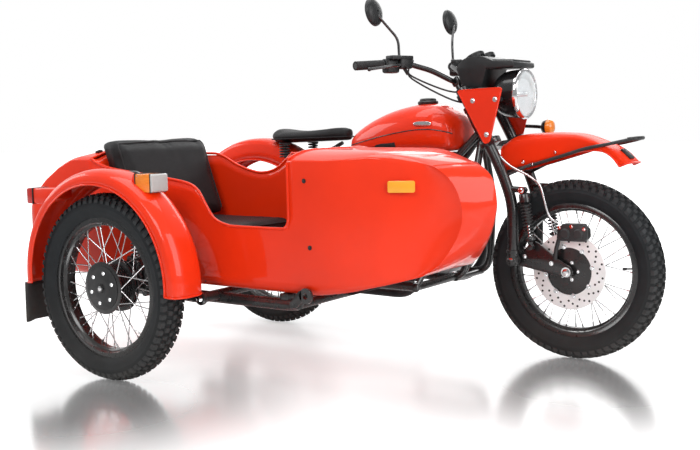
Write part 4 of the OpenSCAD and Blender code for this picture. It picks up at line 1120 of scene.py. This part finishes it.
def exhaust():
    g, b = Geo(), Geo()
    for s in (1, -1):
        g.tube([flip(p, s) for p in ((892, 308, 412), (938, 308, 350), (890, 240, 235), (330, 215, 235),
                                     (240, 215, 245))], 18.5, n=20, bend=90)
        d = Vector((-555, 0, 50)).normalized()
        g.lathe([(16, -8), (22, 0), (36, 26), (40, 44), (40, 486), (38, 500), (30, 528), (24, 540),
                 (20, 556), (18, 556),
                 (18, 520), (0, 520)], flip((255, 215, 245), s), d, n=40)
        for t in (60, 470):
            g.lathe([(40, t), (41.4, t), (41.4, t + 14), (40, t + 14)], flip((255, 215, 245), s), d, n=40)
        g.box(flip((120, 180, 262), s), (40, 60, 8), 2)
        b.lathe([(18, 0), (30, 0), (31, 4), (31, 12), (18, 12)], flip((892, 308, 412), s), (0.55, 0, -0.83),
                n=28)
    g.make("exhaust_pipes", PIPE, replaces=["exhaust"])
    b.make("exhaust_collars", CHROME)


def tank():
    """Teardrop tank: sections along X from the seat to the steering head."""
    stations = [(455, 22, 806, 842), (475, 50, 800, 862), (520, 74, 795, 893), (590, 96, 791.5, 928),
                (670, 114, 791.5, 957), (750, 127, 791.5, 976), (830, 135, 791.5, 986),
                (900, 136, 791.5, 982),
                (942, 129, 793, 966), (975, 113, 797, 944), (994, 84, 806, 916), (1000, 46, 822, 890)]
    g = Geo()
    rows = []
    xs = spline([(a[0], a[1], a[2]) for a in stations], 5)
    zs = spline([(a[0], a[3], 0) for a in stations], 5)
    for p, q in zip(xs, zs):
        x, w, lo, hi = p.x, p.y, p.z, q.y
        row = []
        belly = lo + (hi - lo) * (0.32 + 0.2 * (x - 455) / 545)
        for t in circle(48):
            c, s = math.cos(t), math.sin(t)
            if s >= 0:
                row.append(Vector((x, w * power(c, 0.82), belly + (hi - belly) * power(s, 0.92))))
            else:
                row.append(Vector((x, w * power(c, 0.55), belly + (belly - lo) * power(s, 0.55))))
        rows.append(row)
    g.grid(rows, close_u=True).cap(rows)
    g.make("tank_shell", PAINT, replaces=["fuel_tank"], sharp=70)
    seam, cap, badge = Geo(), Geo(), Geo()
    for s in (1, -1):
        # Black tube along the crease where the tank's halves meet: painted shade on a seam that is itself
        # painted like the tank
        line = [Vector((r[0].x, (r[0].y + 0.3) * s, r[0].z)) for r in rows[3:-6]]
        seam.tube(line, 2.2, n=6, bend=0)
        badge.ball((880, 136.2 * s, 905), (42, 2.2, 11), 24, 8, 0.8)
    cap.lathe([(0, 0), (40, 0), (42, 3), (42, 10), (38, 14), (34, 15), (34, 20), (29, 24), (0, 26)],
              (828, 0, 984),
              (-0.02, 0, 1), n=40)
    seam.make("tank_seam_shade", BLACK, "chassis", "paint", sharp=60)
    badge.make("tank_blank_badge", STEEL)
    cap.make("tank_cap", SATIN, "chassis", "black_plastic")


def knee_pads():
    pads = Geo()
    for s in (1, -1):
        rows = [[Vector((x, knee_y(x, z) * s, z)) for z in (812, 822, 836, 850,
                                                            858)] for x in range(540, 741, 20)]
        pads.grid(rows)
    pads.make("tank_knee_pads", GRIP, solid=4, offset=1)


def knee_y(x, z):
    """Half width of the tank near its belly."""
    for a, b in zip(TANK_HALF, TANK_HALF[1:]):
        if a[0] <= x <= b[0]:
            w = a[1] + (b[1] - a[1]) * (x - a[0]) / (b[0] - a[0])
            return w * (0.985 if 820 <= z <= 850 else 0.955)
    return 100


TANK_HALF = [(455, 22), (475, 50), (520, 74), (590, 96), (670, 114), (750, 127), (830, 135), (900, 136)]


def cushioned(name, g, replaces, body, mat, slot, voxel=0.006, pressure=3.5, cap=0.006):
    """Closed form made into padded upholstery: remeshed, blown up a little by cloth, then smoothed."""
    o = g.make(name, mat, body, slot)
    world = o.matrix_world.copy()
    o.parent = None
    o.matrix_world = world
    bpy.context.view_layer.objects.active = o
    for x in bpy.context.selected_objects:
        x.select_set(False)
    o.select_set(True)
    mod = o.modifiers.new("remesh", "REMESH")
    mod.mode, mod.voxel_size = "VOXEL", voxel
    bpy.ops.object.modifier_apply(modifier=mod.name)
    rest = [v.co.copy() for v in o.data.vertices]
    cloth = o.modifiers.new("cloth", "CLOTH")
    cloth.settings.use_pressure = True
    cloth.settings.uniform_pressure_force = pressure
    cloth.settings.effector_weights.gravity = 0
    cloth.settings.tension_stiffness = cloth.settings.compression_stiffness = 12
    cloth.settings.bending_stiffness = 1.5
    scene = bpy.context.scene
    for f in range(1, 15):
        scene.frame_set(f)
    bpy.ops.object.modifier_apply(modifier=cloth.name)
    scene.frame_set(1)
    for v, p in zip(o.data.vertices, rest):
        d = v.co - p
        if d.length > cap:
            v.co = p + d.normalized() * cap
    smooth = o.modifiers.new("relax", "SMOOTH")
    smooth.factor, smooth.iterations = 0.5, 6
    bpy.ops.object.modifier_apply(modifier=smooth.name)
    o.data.polygons.foreach_set("use_smooth", [True] * len(o.data.polygons))
    sub = o.modifiers.new("smooth", "SUBSURF")
    sub.levels = sub.render_levels = 1
    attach(o, body)
    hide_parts(*replaces)
    return o


def saddle():
    g = Geo()
    # Plan outline of a solo saddle: wide rounded rear and a narrow nose
    half = [(44, 40), (58, 78), (84, 106), (120, 122), (165, 124), (215, 112), (265, 88), (320, 58),
            (370, 42), (410, 38),
            (434, 28), (440, 10)]
    rows = []
    for p in spline([(x, w, 0) for x, w in half], 3):
        x, w = p.x, p.y
        u = (x - 44) / 396
        hump = 6 * math.exp(-((u - 0.02) / 0.12) ** 2)
        dip = 12 * math.sin(min(1, u * 1.25) * math.pi) * 0.8
        top = 888 + hump - dip + 4 * u
        low = 833 + 12 * u
        row = []
        for t in circle(32):
            c, s = math.cos(t), math.sin(t)
            mid = (top + low) / 2
            row.append(Vector((x, (w - 2) * power(c, 0.75), mid + (top - low) / 2 * power(s, 0.8))))
        rows.append(row)
    g.grid(rows, close_u=True).cap(rows)
    cushioned("saddle_pad", g, ["saddle"], "chassis", VINYL, "seat_vinyl", voxel=0.006, cap=0.004)
    piping = Geo()
    line = spline([(x, w - 1, 848 + 8 * (x - 44) / 396) for x, w in half]
                  + [(x, -(w - 1), 848 + 8 * (x - 44) / 396) for x, w in reversed(half)], 4, closed=True)
    piping.tube(line + line[:1], 3.0, n=8, bend=0, caps=False)
    piping.make("saddle_piping", VINYL, sharp=60)


def saddle_springs():
    s = Geo()
    for y in (1, -1):
        coil((150, 104 * y, 832), (150, 104 * y, 772), 21, 3.6, 5, s)
        s.lathe([(0, 0), (25, 0), (25, 3), (0, 3)], (150, 104 * y, 829), (0, 0, 1), n=24)
        s.tube([(256, 74 * y, 790), (222, 84 * y, 782), (150, 104 * y, 772)], 8, n=12)
    s.tube([(253, -74, 790), (253, 74, 790)], 8.5, n=14)
    s.tube([(253, 0, 790), (330, 0, 800), (392, 0, 829)], 8.5, n=14, bend=40)
    s.box((253, 0, 783), (30, 58, 28), 3)
    s.make("saddle_spring_set", SATIN, replaces=["saddle_springs"], sharp=60)


def arch(name, mid, r, half, a0, a1, y, body, replaces, skirt=44, shoulder=14, n=90):
    """Motorcycle fender round a wheel: crowned skin with rolled edges."""
    g, bead = Geo(), Geo()
    prof = []
    for k in range(-10, 11):
        t = k / 10
        if abs(t) < 0.7:
            yy = half * t / 0.7 * 0.9
            rr = r - shoulder * (abs(t) / 0.7) ** 3.2
        else:
            f = (abs(t) - 0.7) / 0.3
            yy = math.copysign(half * (0.9 + 0.1 * math.sin(f * math.pi / 2)), t)
            rr = r - shoulder - (skirt - shoulder) * (1 - math.cos(f * math.pi / 2)) ** 0.9
        prof.append((yy, rr))
    rows = []
    for i in range(n + 1):
        a = math.radians(a0 + (a1 - a0) * i / n)
        rows.append([Vector((mid[0] + math.cos(a) * rr, y + yy, mid[1] + math.sin(a) * rr)) for yy,
                     rr in prof])
    g.grid(rows)
    for line in ([q[0] for q in rows], [q[-1] for q in rows], rows[0], rows[-1]):
        bead.tube(line, 3.4, n=8, bend=0)
    g.make(name + "_skin", PAINT, body, replaces=replaces, solid=2.5, sharp=60)
    bead.make(name + "_bead", PAINT, body, sharp=60)


def rear_fender():
    arch("rear_fender", (-62, 385), 468, 75, 22, 170, 0, "chassis", ["rear_fender"], skirt=96)
    stay, b = Geo(), Geo()
    for s in (1, -1):
        stay.tube([flip(p, s) for p in ((-330, 78, 740), (-180, 120, 560), (0, 132, 372))], 7, n=12,
                  bend=60)
        b.bolt(flip((-330, 79, 740), s), (0, s, 0), r=5, h=4)
    stay.make("rear_fender_stays", SATIN, sharp=60)
    b.make("rear_fender_bolts", CHROME)


def tail_lamp():
    lamp, base = Geo(), Geo()
    lamp.slab([(-541, 572), (-535, 563), (-523, 560), (-523, 630), (-536, 627), (-541, 618)], -43, 43, 5)
    base.slab([(-523, 560), (-496, 562), (-498, 600), (-504, 628), (-523, 630)], -45, 45, 2)
    lamp.make("tail_lamp_lens", RED, replaces=["tail_lamp"])
    base.make("tail_lamp_base", BLACK, "chassis", "black_plastic")


def swingarm():
    g, bolts = Geo(), Geo()
    for s in (1, -1):
        g.tube([flip(p, s) for p in ((400, 118, 350), (300, 120, 346), (0, 118, 343))], 17, n=20, bend=60)
        g.lathe([(0, -10), (28, -10), (30, -6), (30, 12), (26, 16), (0, 16)], flip((0, 118, 343), s),
                (0, s, 0), n=32)
        g.tube([flip((60, 118, 346), s), flip((60, 178, 346), s)], 8, n=14)
        bolts.bolt(flip((0, 134, 343), s), (0, s, 0), r=13, h=9)
        bolts.bolt(flip((60, 184, 346), s), (0, s, 0), r=8, h=6)
    g.tube([(400, -132, 350), (400, 132, 350)], 20, n=24)
    g.tube([(0, -130, 343), (0, 130, 343)], 9.8, n=18)
    g.make("swingarm_tubes", BLACK, replaces=["swingarm"])
    bolts.make("swingarm_bolts", CHROME)


def final_drive():
    g = Geo()
    c = (0, 0, 343)
    g.lathe([(10.2, 58.5), (80, 58.5), (84, 62), (84, 84), (76, 92), (60, 97), (40, 99.5), (10.2, 99.5)], c,
            (0, -1, 0),
            n=64)
    g.tube([(40, -82, 353), (270, -76, 378), (497, -72, 402)], 12.5, n=20, bend=60)
    g.lathe([(12, 0), (20, 2), (22, 12), (22, 44), (18, 52), (12, 56)], (70, -81, 356), (0.97, 0.02, 0.1),
            n=28)
    g.make("drive_housing", ALLOY, replaces=["final_drive"])
    bo = Geo()
    for k in range(8):
        a = 2 * math.pi * k / 8 + 0.2
        bo.bolt((70 * math.cos(a), -95, 343 + 70 * math.sin(a)), (0, -1, 0), r=5, h=3)
    bo.make("drive_bolts", CHROME)


def rear_shocks():
    shock("rear_shock_left", (262, 170, 736), (60, 170, 346), "chassis", 26, replaces=["shock_absorbers"])
    shock("rear_shock_right", (262, -170, 736), (60, -170, 346), "chassis", 26)


def footrests():
    r, pegs = Geo(), Geo()
    for s in (1, -1):
        pegs.tube([flip((640, 115.5, 290), s), flip((640, 150, 290), s)], 10, n=14)
        prof = [(10, 0), (16, 1)]
        for k in range(9):
            prof += [(16.8, 4 + k * 10), (16.8, 9 + k * 10), (15.4, 10 + k * 10), (15.4, 13 + k * 10)]
        prof += [(16, 98), (12, 101), (0, 101), (0, 0)]
        r.lathe(prof, flip((640, 147, 290), s), (0, s, 0), n=28)
    r.make("footrest_rubbers", GRIP, replaces=["footrests"])
    pegs.make("footrest_pegs", SATIN)


# ---------------------------------------------------------------- sidecar

TUB_Y, TUB_W = -690, 280
TOP = [(-550, 500), (-545, 545), (-530, 582), (-480, 650), (-400, 716), (-318, 765), (-206, 814),
       (-140, 841),
       (-110, 843), (590, 843), (850, 828), (1126, 825), (1321, 808), (1413, 777), (1478, 731), (1490, 640)]
LOW = [(-550, 500), (-545, 455), (-520, 420), (-440, 360), (-300, 340.5), (950, 340.5), (1082, 362),
       (1212, 395),
       (1316, 428), (1393, 466), (1470, 560), (1490, 640)]
NOSE_X = 1150
SHELF = 560
PLATE_X = 1256
DECK_X, DASH_X = -121, 855


def along(points, x):
    """Height of a line of points at x, straight between them."""
    for a, b in zip(points, points[1:]):
        if a[0] <= x <= b[0]:
            return a[1] + (b[1] - a[1]) * (x - a[0]) / max(1e-6, b[0] - a[0])
    return points[0][1] if x < points[0][0] else points[-1][1]


def soft_min(a, b, k):
    return -k * math.log(math.exp(-(a - min(a, b)) / k) + math.exp(-(b - min(a, b)) / k)) + min(a, b)


def half_width(x):
    if x < -480:
        return along([(-550, 222), (-545, 236), (-530, 256), (-505, 272), (-480, TUB_W)], x)
    return TUB_W - 130 * (max(x - 1000, 0) / 344) ** 1.6


def deck(station, v):
    edge = 800 + 45 * (1 - (v / TUB_W) ** 2)
    return soft_min(along(TOP, station), edge, 4)


def ring(x, top=None):
    """Half section of the tub from the middle of its bottom, up its side and to the middle of its deck.
    Each point is x, distance from the middle plane, z. With top, the side stops at that height."""
    w = half_width(x)
    lo, hi = along(LOW, x), deck(x, w)
    tall = max(hi - lo, 0.5)
    chine = min(max(9, 45 * (1 - (lo - 340) / 60)), tall * 0.42, w * 0.5)
    edge = min(9, tall * 0.3)
    pts = [((w - chine) * k / 7, lo) for k in range(8)]
    pts += [(w - chine + chine * math.sin(a), lo + chine - chine * math.cos(a))
            for a in (math.pi / 2 * k / 6 for k in range(1, 7))]
    side_top = hi - edge if top is None else min(top, hi - edge)
    # The levels below the cockpit's rim are the same fore and aft of the dash, so that the skins meet
    shelf = max(lo + chine + 0.6 * (side_top - lo - chine), 0) if x < -450 or side_top < SHELF else SHELF
    pts += [(w, lo + chine + (shelf - lo - chine) * k / 7) for k in range(1, 8)]
    pts += [(w, shelf + (side_top - shelf) * k / 5) for k in range(1, 6)]
    if top is None:
        pts += [(w - edge + edge * math.cos(a), hi - edge + edge * math.sin(a) * 0.9)
                for a in (math.pi / 2 * k / 5 for k in range(1, 5))]
        pts += [(v, deck(x, v)) for v in ((w - edge) * (1 - k / 12) for k in range(1, 13))]
    return [Vector((x, v, z)) for v, z in pts]


# The edge where the tub's flat side meets the upper and lower faces of its nose, from the chine up
NOSE_EDGE = [(1306, 167, 420), (1348, 147, 450), (1382, 128, 495), (1412, 112, 555), (1424, 107, 612),
             (1420, 112, 662),
             (1406, 120, 706), (1380, 131, 745), (1342, 145, 774)]
NOSE_TIP = 4
STEM = [(1340, 437), (1393, 466), (1440, 510), (1470, 560), (1488, 622), (1490, 662), (1478, 725),
        (1452, 757),
        (1413, 778)]


def nose(g):
    """The tub forward of NOSE_X: its section runs into the nose edge, then two faces close it on the stem."""
    rim = spline(NOSE_EDGE, 6)
    start = ring(NOSE_X)
    foot, head = Vector((STEM[0][0], 0, STEM[0][1])), Vector((STEM[-1][0], 0, STEM[-1][1]))
    goal = [foot.lerp(rim[0], k / 7) for k in range(8)]
    picks = [round((len(rim) - 1) * k / 22) for k in range(23)]
    goal += [rim[k] for k in picks[1:]]
    goal += [rim[-1].lerp(head, k / 12) for k in range(1, 13)]
    rows = []
    for i in range(19):
        t = i / 18
        row = []
        for j, (p, q) in enumerate(zip(start, goal)):
            x = p.x + (q.x - p.x) * t
            share = p.y / start[20].y
            wide = half_width(x) * share * (1 - t * t) + q.y * t * t
            row.append(Vector((x, wide, p.z + (q.z - p.z) * t ** (1 + 0.8 * j / 41))))
        rows.append(row)
    stem = spline([(x, 0, z) for x, z in STEM], 6)
    tip = picks.index(NOSE_TIP * 6)
    for s in (1, -1):
        g.grid([[side_of(p, s) for p in row] for row in rows])
        for part in (picks[:tip + 1], picks[tip:]):
            g.grid([[side_of(rim[k].lerp(stem[k], u / 10) + Vector((24 * u / 10 * (1 - u / 10), 0, 0)), s)
                     for u in range(11)] for k in part])


def stations(a, b, step):
    n = max(1, math.ceil((b - a) / step))
    return [a + (b - a) * i / n for i in range(n + 1)]


def side_of(p, s):
    """A half-section point on the motorcycle's side (s = 1) or on the outer side (s = -1) of the tub."""
    return Vector((p.x, TUB_Y + s * p.y, p.z))


NEAR_RIM = [(-121, 800), (-90, 783), (-40, 768), (30, 757), (200, 738), (340, 722), (395, 712), (426, 700),
            (450, 680),
            (473, 646), (500, 607), (520, 588), (546, 576), (580, 568), (612, 565), (815, 565), (838, 570),
            (850, 583),
            (854.9, 604)]
FAR_RIM = [(-121, 800), (0, 800), (50, 792), (90, 776), (130, 756), (180, 738), (230, 725), (270, 720),
           (320, 726),
           (365, 744), (400, 770), (435, 796), (470, 800), (854.9, 800)]
LID_X0, LID_X1, LID_HW, LID_GAP = -510, -312, 230, 5


def tub():
    g = Geo()
    # Closed nose, from the dash forward
    for s in (1, -1):
        g.grid([[side_of(p, s) for p in ring(x)] for x in stations(DASH_X, NOSE_X, 28)])
    nose(g)
    # Tail, with the hole under the trunk lid left open
    rear = sorted(set(stations(-550, -530, 3) + stations(-530, -400, 10) + [LID_X0 - LID_GAP,
                                                                            LID_X1 + LID_GAP]
                      + stations(-400, DECK_X, 14)))
    for s in (1, -1):
        rows = []
        for x in rear:
            r = ring(x)
            flat = r[:-12]
            w = r[-13].y
            vs = [w - (w - LID_HW - LID_GAP) * k / 4 for k in range(1, 5)] if w > LID_HW + LID_GAP else \
                [w * (1 - k / 50) for k in range(1, 5)]
            vs += [vs[-1] * (1 - k / 8) for k in range(1, 9)]
            rows.append(flat + [Vector((x, v, deck(x, v))) for v in vs])
        side_end = len(rows[0]) - 9
        for i, (a, b) in enumerate(zip(rows, rows[1:])):
            inside = LID_X0 - LID_GAP - 0.1 <= a[0].x and b[0].x <= LID_X1 + LID_GAP + 0.1
            g.grid([[side_of(p, s) for p in (r[:side_end + 1] if inside else r)] for r in (a, b)])
    # Open middle, whose sides stop at the cockpit's rim
    for s, rim_line in ((1, FAR_RIM), (-1, NEAR_RIM)):
        xs = sorted(set(stations(DECK_X, 854.9, 24) + [p[0] for p in rim_line]))
        g.grid([[side_of(p, s) for p in ring(x, along(rim_line, x))[:26]] for x in xs])
    g.make("tub_skin", PAINT, replaces=["sidecar_tub"], solid=3.5, sharp=20, weld=0.3)


def cockpit_bead():
    bead = Geo()
    for s, rim_line in ((1, FAR_RIM), (-1, NEAR_RIM)):
        fine = spline([(x, 0, z) for x, z in rim_line], 3)
        line = [Vector((p.x, TUB_Y + s * (half_width(p.x) - 2), min(p.z, 799))) for p in fine]
        line += [Vector((855, TUB_Y + s * (TUB_W - 2), z)) for z in (640, 700, 760, 790)]
        bead.tube(line, 5.2, n=10, bend=0)
    for x in (DECK_X, DASH_X):
        w = half_width(x) - 5
        across = [w * k / 20 for k in range(-20, 21)]
        bead.tube([Vector((x, TUB_Y + v, deck(x, abs(v)) - 1)) for v in across], 5.2, n=10, bend=0)
    bead.make("cockpit_bead", PAINT, sharp=60)


def cockpit_inside():
    """Floor, bulkhead behind the seat and seat pan."""
    liner = Geo()
    floor_row = [[Vector((x, TUB_Y + v, 352)) for v in (-232, -120, 0, 120,
                                                        232)] for x in stations(-440, 1080, 60)]
    liner.grid(floor_row)
    liner.make("cockpit_floor", CARPET, solid=3, offset=1)
    wall = Geo()
    bulk = [(bulk_x(z), z) for z in (346, 420, 500, 600, 700, 780, 838)]
    wall.grid([[Vector((x - 4, TUB_Y + v, z if abs(v) < 250 else min(z, 796))) for v in (-275, -250, -120,
                                                                                         0, 120, 250, 275)]
               for x, z in bulk])
    wall.make("cockpit_bulkhead", PAINT, solid=3, offset=0)
    pan = Geo()
    pan.grid([[Vector((x, TUB_Y + v, 443)) for v in (-274, -100, 100, 274)] for x in (22, 240, 458)])
    pan.grid([[Vector((459, TUB_Y + v, z)) for v in (-274, -100, 100, 274)] for z in (443, 400, 356)])
    pan.make("seat_pan", SATIN, solid=3, offset=0)


def tub_fittings():
    """Bolts on the sides, hinge leaves of the trunk lid and the blank plate."""
    b, plate, fit = Geo(), Geo(), Geo()
    out = TUB_Y - TUB_W
    for x, z in ((926, 729), (944, 507)):
        b.bolt((x, out - 0.5, z), (0, -1, 0), r=5.5, h=4)
        b.bolt((x, TUB_Y + TUB_W + 0.5, z), (0, 1, 0), r=5.5, h=4)
    plate.slab([(-44, -15), (-40, -19), (40, -19), (44, -15), (44, 15), (40, 19), (-40, 19), (-44, 15)],
               -1.6, 1.6, 1.2,
               at=(PLATE_X, TUB_Y - half_width(PLATE_X) - 2.4, 711), turn=turned(26, "Z"))
    plate.make("blank_side_plate", PLATE)
    b.make("tub_side_bolts", SATIN)
    for s in (1, -1):
        fit.box((-309.5, TUB_Y + s * 130, 779), (16, 58, 16), 5)
        fit.box((-288, TUB_Y + s * 130, 781), (38, 48, 5), 2, turn=(0, -22, 0))
        fit.box((DECK_X - 36, TUB_Y + s * 205, deck(DECK_X - 36, 205) + 3), (26, 20, 10), 3,
                turn=(0, -14, 0))
    fit.make("hinge_leaves", SATIN)


def bulk_x(z):
    """Place of the leaning bulkhead at a height."""
    return -117 + (850 - z) * 0.388571


def trunk_lid():
    g, bead, fit = Geo(), Geo(), Geo()
    xs = stations(LID_X0, LID_X1, 12)
    across = [LID_HW * k / 14 for k in range(-14, 15)]
    rows = [[Vector((x, TUB_Y + v, deck(x, abs(v)))) for v in across] for x in xs]
    g.grid(rows)
    edge = rows[0] + [r[-1] for r in rows[1:]] + rows[-1][::-1][1:] + [r[0] for r in rows[::-1][1:]]
    bead.tube([p - Vector((0, 0, 1.2)) for p in edge], 3.0, n=8, bend=0, caps=False)
    g.make("trunk_lid_skin", PAINT, "trunk_lid", replaces=["trunk_lid"], solid=3.5, sharp=50)
    bead.make("trunk_lid_bead", PAINT, "trunk_lid", sharp=60)
    for s in (1, -1):
        fit.slab([(-311, 786), (-322, 782), (-349, 766), (-353, 745), (-348, 745), (-316, 769)], -14, 14,
                 1.5,
                 at=(0, TUB_Y + s * 130, 0))
    fit.lathe([(0, 0), (17, 0), (17, 5), (11, 8), (11, 16), (0, 17)], (-488, TUB_Y, along(TOP, -488) - 3),
              (-0.62, 0, 0.78), n=24)
    fit.make("trunk_lid_fittings", SATIN, "trunk_lid")


def hug(pad, points, lift=1.5):
    """Points in millimetres moved onto a pad's surface."""
    solid = pad.evaluated_get(bpy.context.evaluated_depsgraph_get())
    into = pad.matrix_world.inverted()
    out = []
    for p in points:
        _, place, normal, _ = solid.closest_point_on_mesh(into @ P(*p))
        out.append((pad.matrix_world @ (place + normal * lift / 1000) - P(0, 0, 0)) * 1000)
    return out


def seats():
    g = Geo().box((245, TUB_Y, 494.5), (442, 492, 93), 22)
    cushion = cushioned("seat_cushion_pad", g, ["seat_cushion"], "chassis", VINYL, "seat_vinyl",
                        voxel=0.009, cap=0.007)
    outline = [(bulk_x(864) + 3, 864), (bulk_x(864) + 96, 866), (bulk_x(830) + 112, 832),
               (bulk_x(552) + 108, 552),
               (bulk_x(552) + 3, 550)]
    g = Geo().slab(outline, -936, -444, 22)
    back = cushioned("seat_back_pad", g, ["seat_back"], "chassis", VINYL, "seat_vinyl", voxel=0.009,
                     cap=0.007)
    p = Geo()
    loop = [Vector((bulk_x(z) + 116, y, z)) for y, z in ((-940, 576), (-940, 846), (-922, 872), (-458, 872),
                                                         (-440, 846),
                                                         (-440, 576))]
    fine = [a.lerp(b, k / 16) for a, b in zip(loop, loop[1:]) for k in range(16)] + loop[-1:]
    p.tube(hug(back, fine), 2.6, n=8, bend=0)
    fine = [Vector((480, -936 + 24.6 * k, 546)) for k in range(21)]
    p.tube(hug(cushion, fine), 2.6, n=8, bend=0)
    p.make("seat_piping", GRIP, "chassis", "seat_vinyl", sharp=60)


def side_fender():
    arch("sidecar_fender", (163, 368), 405, 75, -4, 184, -1147, "chassis", ["sidecar_fender"], skirt=54,
         shoulder=18,
         n=120)
    x = 163 - 405
    g, b = Geo(), Geo()
    rows = []
    for i in range(10):
        z = 339 - 149 * i / 9
        rows.append([Vector((x + 1.0 - 5 * math.sin(i / 9 * 1.5) * 0.6, -1147 + v,
                             z - (6 if abs(v) > 50 and i == 9 else 0)))
                     for v in (-66, -52, -26, 0, 26, 52, 66)])
    g.grid(rows)
    g.make("mudflap_sheet", FLAP, replaces=["mudflap"], solid=4.5, offset=0)
    for v in (-45, 0, 45):
        b.bolt((x - 2.6, -1147 + v, 326), (-1, 0, 0), r=5, h=3.5)
    amber, clear, red, body, gasket = Geo(), Geo(), Geo(), Geo(), Geo()
    y0, y1 = -1186, -1108
    body.slab([(329, 722), (340, 700), (352, 692), (352, 757), (340, 757)], y0 + 4, y1 - 4, 3)
    amber.slab([(354, 694), (425, 693), (425, 757), (354, 757)], y0 + 1, y1 - 1, 4)
    clear.slab([(427, 693), (433, 694), (437.5, 699), (437.5, 751), (433, 756), (427, 757)], y0 + 1, y1 - 1,
               3)
    gasket.slab([(351, 691), (355, 691), (355, 759), (351, 759)], y0, y1, 0.8)
    gasket.slab([(424.5, 691.5), (427.5, 691.5), (427.5, 758), (424.5, 758)], y0 + 0.5, y1 - 0.5, 0.5)
    body.slab([(-206, 640), (-190, 637), (-110, 640), (-66, 660), (-66, 688), (-84, 697), (-206, 697)],
              y0 + 3, y1 - 3, 6)
    red.slab([(-241, 642), (-236, 638), (-208, 638), (-208, 697), (-236, 697), (-241, 692)], y0 + 1, y1 - 1,
             4)
    gasket.slab([(-209, 637), (-205.5, 637), (-205.5, 698), (-209, 698)], y0, y1, 0.8)
    for x, z in ((366, 700), (366, 750)):
        b.bolt((x, y0 + 0.6, z), (0, -1, 0), r=3, h=1.6, washer=False)
    amber.make("sidecar_signal_amber", AMBER, replaces=["sidecar_lamps"])
    clear.make("sidecar_marker_clear", CLEAR)
    red.make("sidecar_tail_red", RED)
    body.make("sidecar_lamp_brackets", PAINT)
    gasket.make("sidecar_lamp_gaskets", GRIP, "chassis", "black_plastic")
    b.make("sidecar_fender_bolts", CHROME)


def sidecar_frame():
    g, b = Geo(), Geo()
    z = 300
    g.tube([(1000, -400, z), (-60, -400, z), (-60, -940, z), (850, -940, z), (886, -966, 314)], 20, n=22,
           bend=70)
    for x in (440, 850):
        g.tube([(x, -940, z), (x, -400, z)], 16, n=18)
    for x in (20, 790):
        for y in (-430, -930):
            g.box((x + 20, y, 322), (40, 40, 34), 4)
            b.bolt((x + 20, y, 306), (0, 0, -1), r=7, h=5)
    g.slab([(858, 300), (866, 322), (902, 360), (916, 366), (916, 325), (888, 300)], -986, -974, 2)
    g.lathe([(10.2, -6), (25, -6), (27, -4), (27, 4), (25, 6), (10.2, 6)], (930, -980, 345), (0, 1, 0),
            n=40)
    g.tube([(180, -940, z), (180, -996, z), (180, -996, 745), (180, -1071, 745)], 14, n=18, bend=34)
    g.tube([(193, -1042, 660), (193, -996, 660)], 9, n=14)
    g.tube([(180, -1000, 300), (180, -940, 300)], 14, n=16)
    g.make("sidecar_rails", BLACK, replaces=["sidecar_frame"])
    b.make("sidecar_rail_bolts", CHROME)


def sidecar_struts():
    s, sb = Geo(), Geo()
    s.tube([(1000, -400, 295), (1000, -100, 295)], 15, n=18)
    s.tube([(405, -400, 295), (405, -100, 295)], 15, n=18)
    for a, c in (((1072, -94, 620), (1000, -400, 300)), ((276, -134, 700), (330, -400, 300))):
        s.tube([a, c], 14.5, n=18)
        d = (Vector(c) - Vector(a)).normalized()
        s.tube([Vector(a) + d * 40, Vector(a) + d * 70], 18, n=18)
        s.tube([Vector(c) - d * 80, Vector(c) - d * 50], 18, n=6)
    for p in ((1000, -100, 295), (1000, -400, 295), (405, -100, 295), (405, -400, 295), (1072, -94, 620),
              (276, -134, 700),
              (330, -400, 300)):
        s.ball(p, (19, 17, 19), 20, 12)
        sb.bolt(Vector(p) + Vector((0, 0, 17)), (0, 0, 1), r=8, h=6)
    s.make("sidecar_strut_tubes", BLACK, replaces=["sidecar_struts"])
    sb.make("sidecar_strut_bolts", CHROME)


def sidecar_swingarm():
    w, wb = Geo(), Geo()
    y = -1040
    w.tube([(513, y, 313), (420, y, 316), (163, y, 343)], 18.5, n=20, bend=60)
    w.tube([(513, y - 6, 313), (513, -938, 313)], 17, n=22)
    w.tube([(163, -1199, 343), (163, y, 343)], 9.8, n=18)
    w.lathe([(0, 0), (22, 0), (24, 3), (24, 14), (20, 17), (0, 17)], (513, y + 4, 313), (0, -1, 0), n=28)
    w.lathe([(10.2, 0), (94, 0), (96, 2), (96, 5), (90, 7), (10.2, 7)], (163, -1147 + 45, 343), (0, 1, 0),
            n=64)
    w.lathe([(10.2, 0), (17, 0), (17, 10), (12, 12), (10.2, 12)], (163, -1187.5, 343), (0, -1, 0), n=6)
    w.box((205, -1066, 420), (60, 34, 46), 6, turn=(0, 20, 0))
    w.tube([(203, y, 367), (203, -1058, 400)], 8, n=12)
    wb.bolt((163, -1195, 343), (0, -1, 0), r=10, h=4, washer=False)
    wb.bolt((513, y - 14, 313), (0, -1, 0), r=10, h=7)
    w.make("sidecar_swing_arm", BLACK, replaces=["sidecar_swingarm"])
    wb.make("sidecar_swing_bolts", CHROME)
    shock("sidecar_shock", (193, y, 660), (193, y, 367), "chassis", 24)


for build in (set_stage, wheels, front_hub, fork, links, front_shocks, front_fender, headlamp, lamp_ears,
              instruments, handlebar, hand_controls, control_cables, front_signal, caliper, brake_hose,
              motorcycle_frame, engine, cylinders, carburettors, exhaust, tank, knee_pads, saddle,
              saddle_springs,
              rear_fender, tail_lamp, swingarm, final_drive, rear_shocks, footrests, tub, cockpit_bead,
              cockpit_inside, tub_fittings, trunk_lid, seats, side_fender, sidecar_frame, sidecar_struts,
              sidecar_swingarm):
    build()
